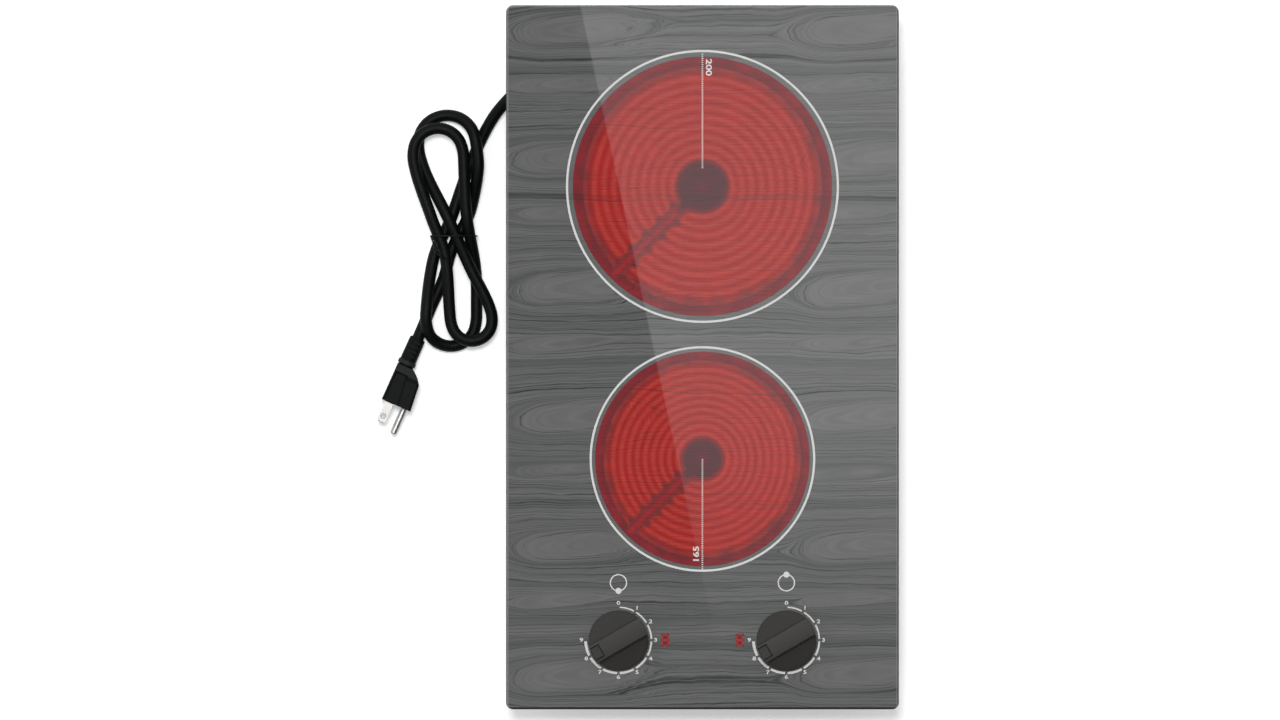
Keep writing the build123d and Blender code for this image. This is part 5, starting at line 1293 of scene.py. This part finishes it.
def moulded_plug():
    # PVC: overmoulded on the cord, so near black and satin, with a faint flow texture; paler from the collar
    # to the panel, with painted shade as near-black lines in the collar's groove and round the panel.
    made = grained("overmoulded_pvc", ("#0d0f0f", "#131515"), 2.5, (0.4, 0.5), relief=0.02,
                   Specular_IOR_Level=0.03)
    tree = made.node_tree
    along, across = plug_frame(tree)
    ahead = node(tree, "Math", along, PANEL_START, operation="SUBTRACT")
    left = node(tree, "Math", across, PANEL_LEFT, operation="SUBTRACT")
    right = node(tree, "Math", along, PANEL_SPREAD, PANEL_RIGHT, operation="MULTIPLY_ADD")
    right = node(tree, "Math", right, across, operation="SUBTRACT")
    inner = node(tree, "Math", ahead, left, operation="MINIMUM")
    behind = node(tree, "Math", along, PLUG_COLLAR, operation="GREATER_THAN")
    paler_panel = node(tree, "MapRange", inner, -PALE_PANEL_FADE, PALE_PANEL_FADE, 1.0, 0.0)
    retone(made, node(tree, "Math", paler_panel, behind, operation="MULTIPLY"), "#282a2a")
    # Painted shade: near-black lines in the collar's groove and round the panel.
    rim = node(tree, "Math", node(tree, "Math", inner, right, operation="MINIMUM"), operation="ABSOLUTE")
    groove = node(tree, "Math", along, PLUG_GROOVE, operation="SUBTRACT")
    groove = node(tree, "Math", groove, operation="ABSOLUTE")
    nearest = node(tree, "Math", rim, groove, operation="MINIMUM")
    retone(made, node(tree, "MapRange", nearest, *SHADE_LINE_HALF, 1.0, 0.0), "#010202")
    return made


def plated_blade():
    # Nickel-plated brass: stamped and barrel-plated, so bright, with painted shade round its hole, and darker
    # along its tip.
    made = grained("nickel_plated_blade", ("#636260", "#686765"), 6.0, (0.28, 0.34), Metallic=1.0)
    tree = made.node_tree
    along, across = plug_frame(tree)
    ahead = node(tree, "Math", along, BLADE_HOLE, operation="SUBTRACT")
    away = node(tree, "CombineXYZ", ahead, across)
    reach = node(tree, "VectorMath", away, operation="LENGTH").outputs["Value"]
    # Painted shade round the hole; the tip is darker.
    ring = node(tree, "MapRange", reach, *(BLADE_HOLE_RADIUS + part for part in HOLE_SHADE), 1.0, 0.0)
    tip = node(tree, "MapRange", along, *(BLADE_TIP - part for part in TIP_DARKENING), 0.0, 1.0)
    retone(made, node(tree, "Math", ring, tip, operation="MAXIMUM"), "#4a4947")
    return made


class COOKTOP_OT_housing(bpy.types.Operator):
    """Base pan, glass frame, feet, seals and screws."""

    bl_idname = "cooktop.housing"
    bl_label = "Finish the housing"

    def execute(self, context):
        # Powder-coated steel: sprayed and baked, so black and satin with a fine orange-peel texture.
        coated = grained("powder_coated_steel", ("#17191a", "#222526"), 1.6, (0.42, 0.58), relief=0.05)
        paint(coated, "base_pan", "glass_frame")
        # Natural rubber: moulded feet, matt and slightly dusty.
        rubber = grained("moulded_rubber", ("#1a1b1b", "#2c2d2d"), 3.0, (0.7, 0.9), relief=0.04)
        paint(rubber, *("foot_" + end + "_" + side for end in ("front", "rear") for side in SIDES))
        # Silicone: cast bead and seals, dark grey with a waxy gloss.
        silicone = grained("cast_silicone", ("#2a2c2d", "#383a3b"), 4.0, (0.35, 0.5), relief=0.05)
        paint(silicone, "glass_seal", "knob_seals")
        # Zinc-plated steel: turned and passivated screws, bluish bright with soft blotches.
        zinc = grained("zinc_plated_steel", ("#8f969b", "#b9bfc4"), 1.2, (0.25, 0.4), relief=0.01,
                       Metallic=1.0)
        paint(zinc, "frame_screws", "floor_screws", "board_screws")
        return {"FINISHED"}


class COOKTOP_OT_inside(bpy.types.Operator):
    """Pieces inside the housing."""

    bl_idname = "cooktop.inside"
    bl_label = "Finish the inside"

    def execute(self, context):
        # Hot-dip galvanised sheet: rolled and dipped, so grey metal with centimetre-wide crystal patches.
        galvanised = grained("galvanised_steel", ("#8d9294", "#b5babb"), 9.0, (0.3, 0.5), relief=0.02,
                             Metallic=1.0)
        paint(galvanised, "control_bracket", "heater_terminals", "support_springs", "support_bar_front",
              "support_bar_rear", "heater_dish_front", "heater_dish_rear", "knob_clip_left",
              "knob_clip_right")
        # Steatite: pressed and fired ceramic, cream, matt and finely speckled.
        steatite = grained("fired_steatite", ("#c9c0ac", "#ded6c4"), 1.2, (0.55, 0.75), relief=0.03)
        paint(steatite, "limiter_switch_front", "limiter_switch_rear")
        # Glass-epoxy laminate under green solder mask: glossy green over a woven cloth, drawn coarse.
        laminate = grained("green_circuit_board", ("#16452f", "#215c40"), 1.5, (0.25, 0.4), relief=0.02)
        paint(laminate, "control_board", "power_board")
        # Natural nylon: moulded, milky and satin.
        nylon = grained("moulded_nylon", ("#cfcbbd", "#e0dccf"), 3.0, (0.4, 0.55), relief=0.02)
        paint(nylon, "board_spacers", "terminal_block")
        # Glass-filled polyester: moulded black housings, matt with a fibre-flecked face.
        housing = grained("moulded_black_polyester", ("#101112", "#1b1d1e"), 1.2, (0.45, 0.6), relief=0.02)
        paint(housing, "control_body_left", "control_body_right", "power_relays")
        # Aluminium: drawn shaft, bright with fine lines along it.
        drawn = grained("drawn_aluminium", ("#b4b6b8", "#cfd1d3"), 0.5, (0.25, 0.4), stretch=(1, 1, 12),
                        Metallic=1.0)
        paint(drawn, "control_shaft_left", "control_shaft_right")
        # Polyester tape: yellow, wound round the transformer, with a smooth gloss.
        tape = grained("polyester_tape", ("#b98f1e", "#d3ab35"), 6.0, (0.2, 0.35), relief=0.03,
                       stretch=(6, 1, 1))
        paint(tape, "power_transformer")
        # Heat-resistant silicone wire: extruded, rust red and waxy.
        silicone = grained("extruded_silicone_wire", ("#7d2a20", "#96382b"), 2.0, (0.4, 0.55), relief=0.02)
        paint(silicone, "heater_wires")
        # PVC wire: extruded, brown and glossy.
        vinyl = grained("extruded_pvc_wire", ("#4a2f20", "#5e3d2a"), 2.0, (0.3, 0.45), relief=0.02)
        paint(vinyl, "mains_wires")
        return {"FINISHED"}


class COOKTOP_PT_panel(bpy.types.Panel):
    """Lists the steps that dress the cooktop, with their settings."""

    bl_idname = "COOKTOP_PT_panel"
    bl_label = "Ceramic cooktop"
    bl_space_type = "VIEW_3D"
    bl_region_type = "UI"
    bl_category = "Cooktop"

    def draw(self, context):
        for operator in OPERATORS:
            self.layout.operator(operator.bl_idname)
        for name, group in SETTINGS.items():
            box = self.layout.box()
            box.label(text=group.__doc__)
            for setting in group.__annotations__:
                box.prop(getattr(context.scene, name), setting)


SETTINGS = {
    "cooktop_stage": CooktopStage,
    "cooktop_cord": CooktopCord,
    "cooktop_glass": CooktopGlass,
    "cooktop_print": CooktopPrint,
    "cooktop_heaters": CooktopHeaters,
}
OPERATORS = (
    COOKTOP_OT_stage,
    COOKTOP_OT_cord,
    COOKTOP_OT_glass,
    COOKTOP_OT_marks,
    COOKTOP_OT_heaters,
    COOKTOP_OT_controls,
    COOKTOP_OT_plug,
    COOKTOP_OT_housing,
    COOKTOP_OT_inside,
)


def register():
    for name, group in SETTINGS.items():
        bpy.utils.register_class(group)
        setattr(bpy.types.Scene, name, bpy.props.PointerProperty(type=group))
    for made in (*OPERATORS, COOKTOP_PT_panel):
        bpy.utils.register_class(made)


def unregister():
    for made in reversed((*OPERATORS, COOKTOP_PT_panel)):
        bpy.utils.unregister_class(made)
    for name, group in SETTINGS.items():
        delattr(bpy.types.Scene, name)
        bpy.utils.unregister_class(group)


def main():
    register()
    bpy.ops.cooktop.stage()
    bpy.ops.cooktop.cord()
    bpy.ops.cooktop.glass()
    bpy.ops.cooktop.marks()
    bpy.ops.cooktop.heaters()
    bpy.ops.cooktop.controls()
    bpy.ops.cooktop.plug()
    bpy.ops.cooktop.housing()
    bpy.ops.cooktop.inside()


if __name__ == "__main__":
    main()
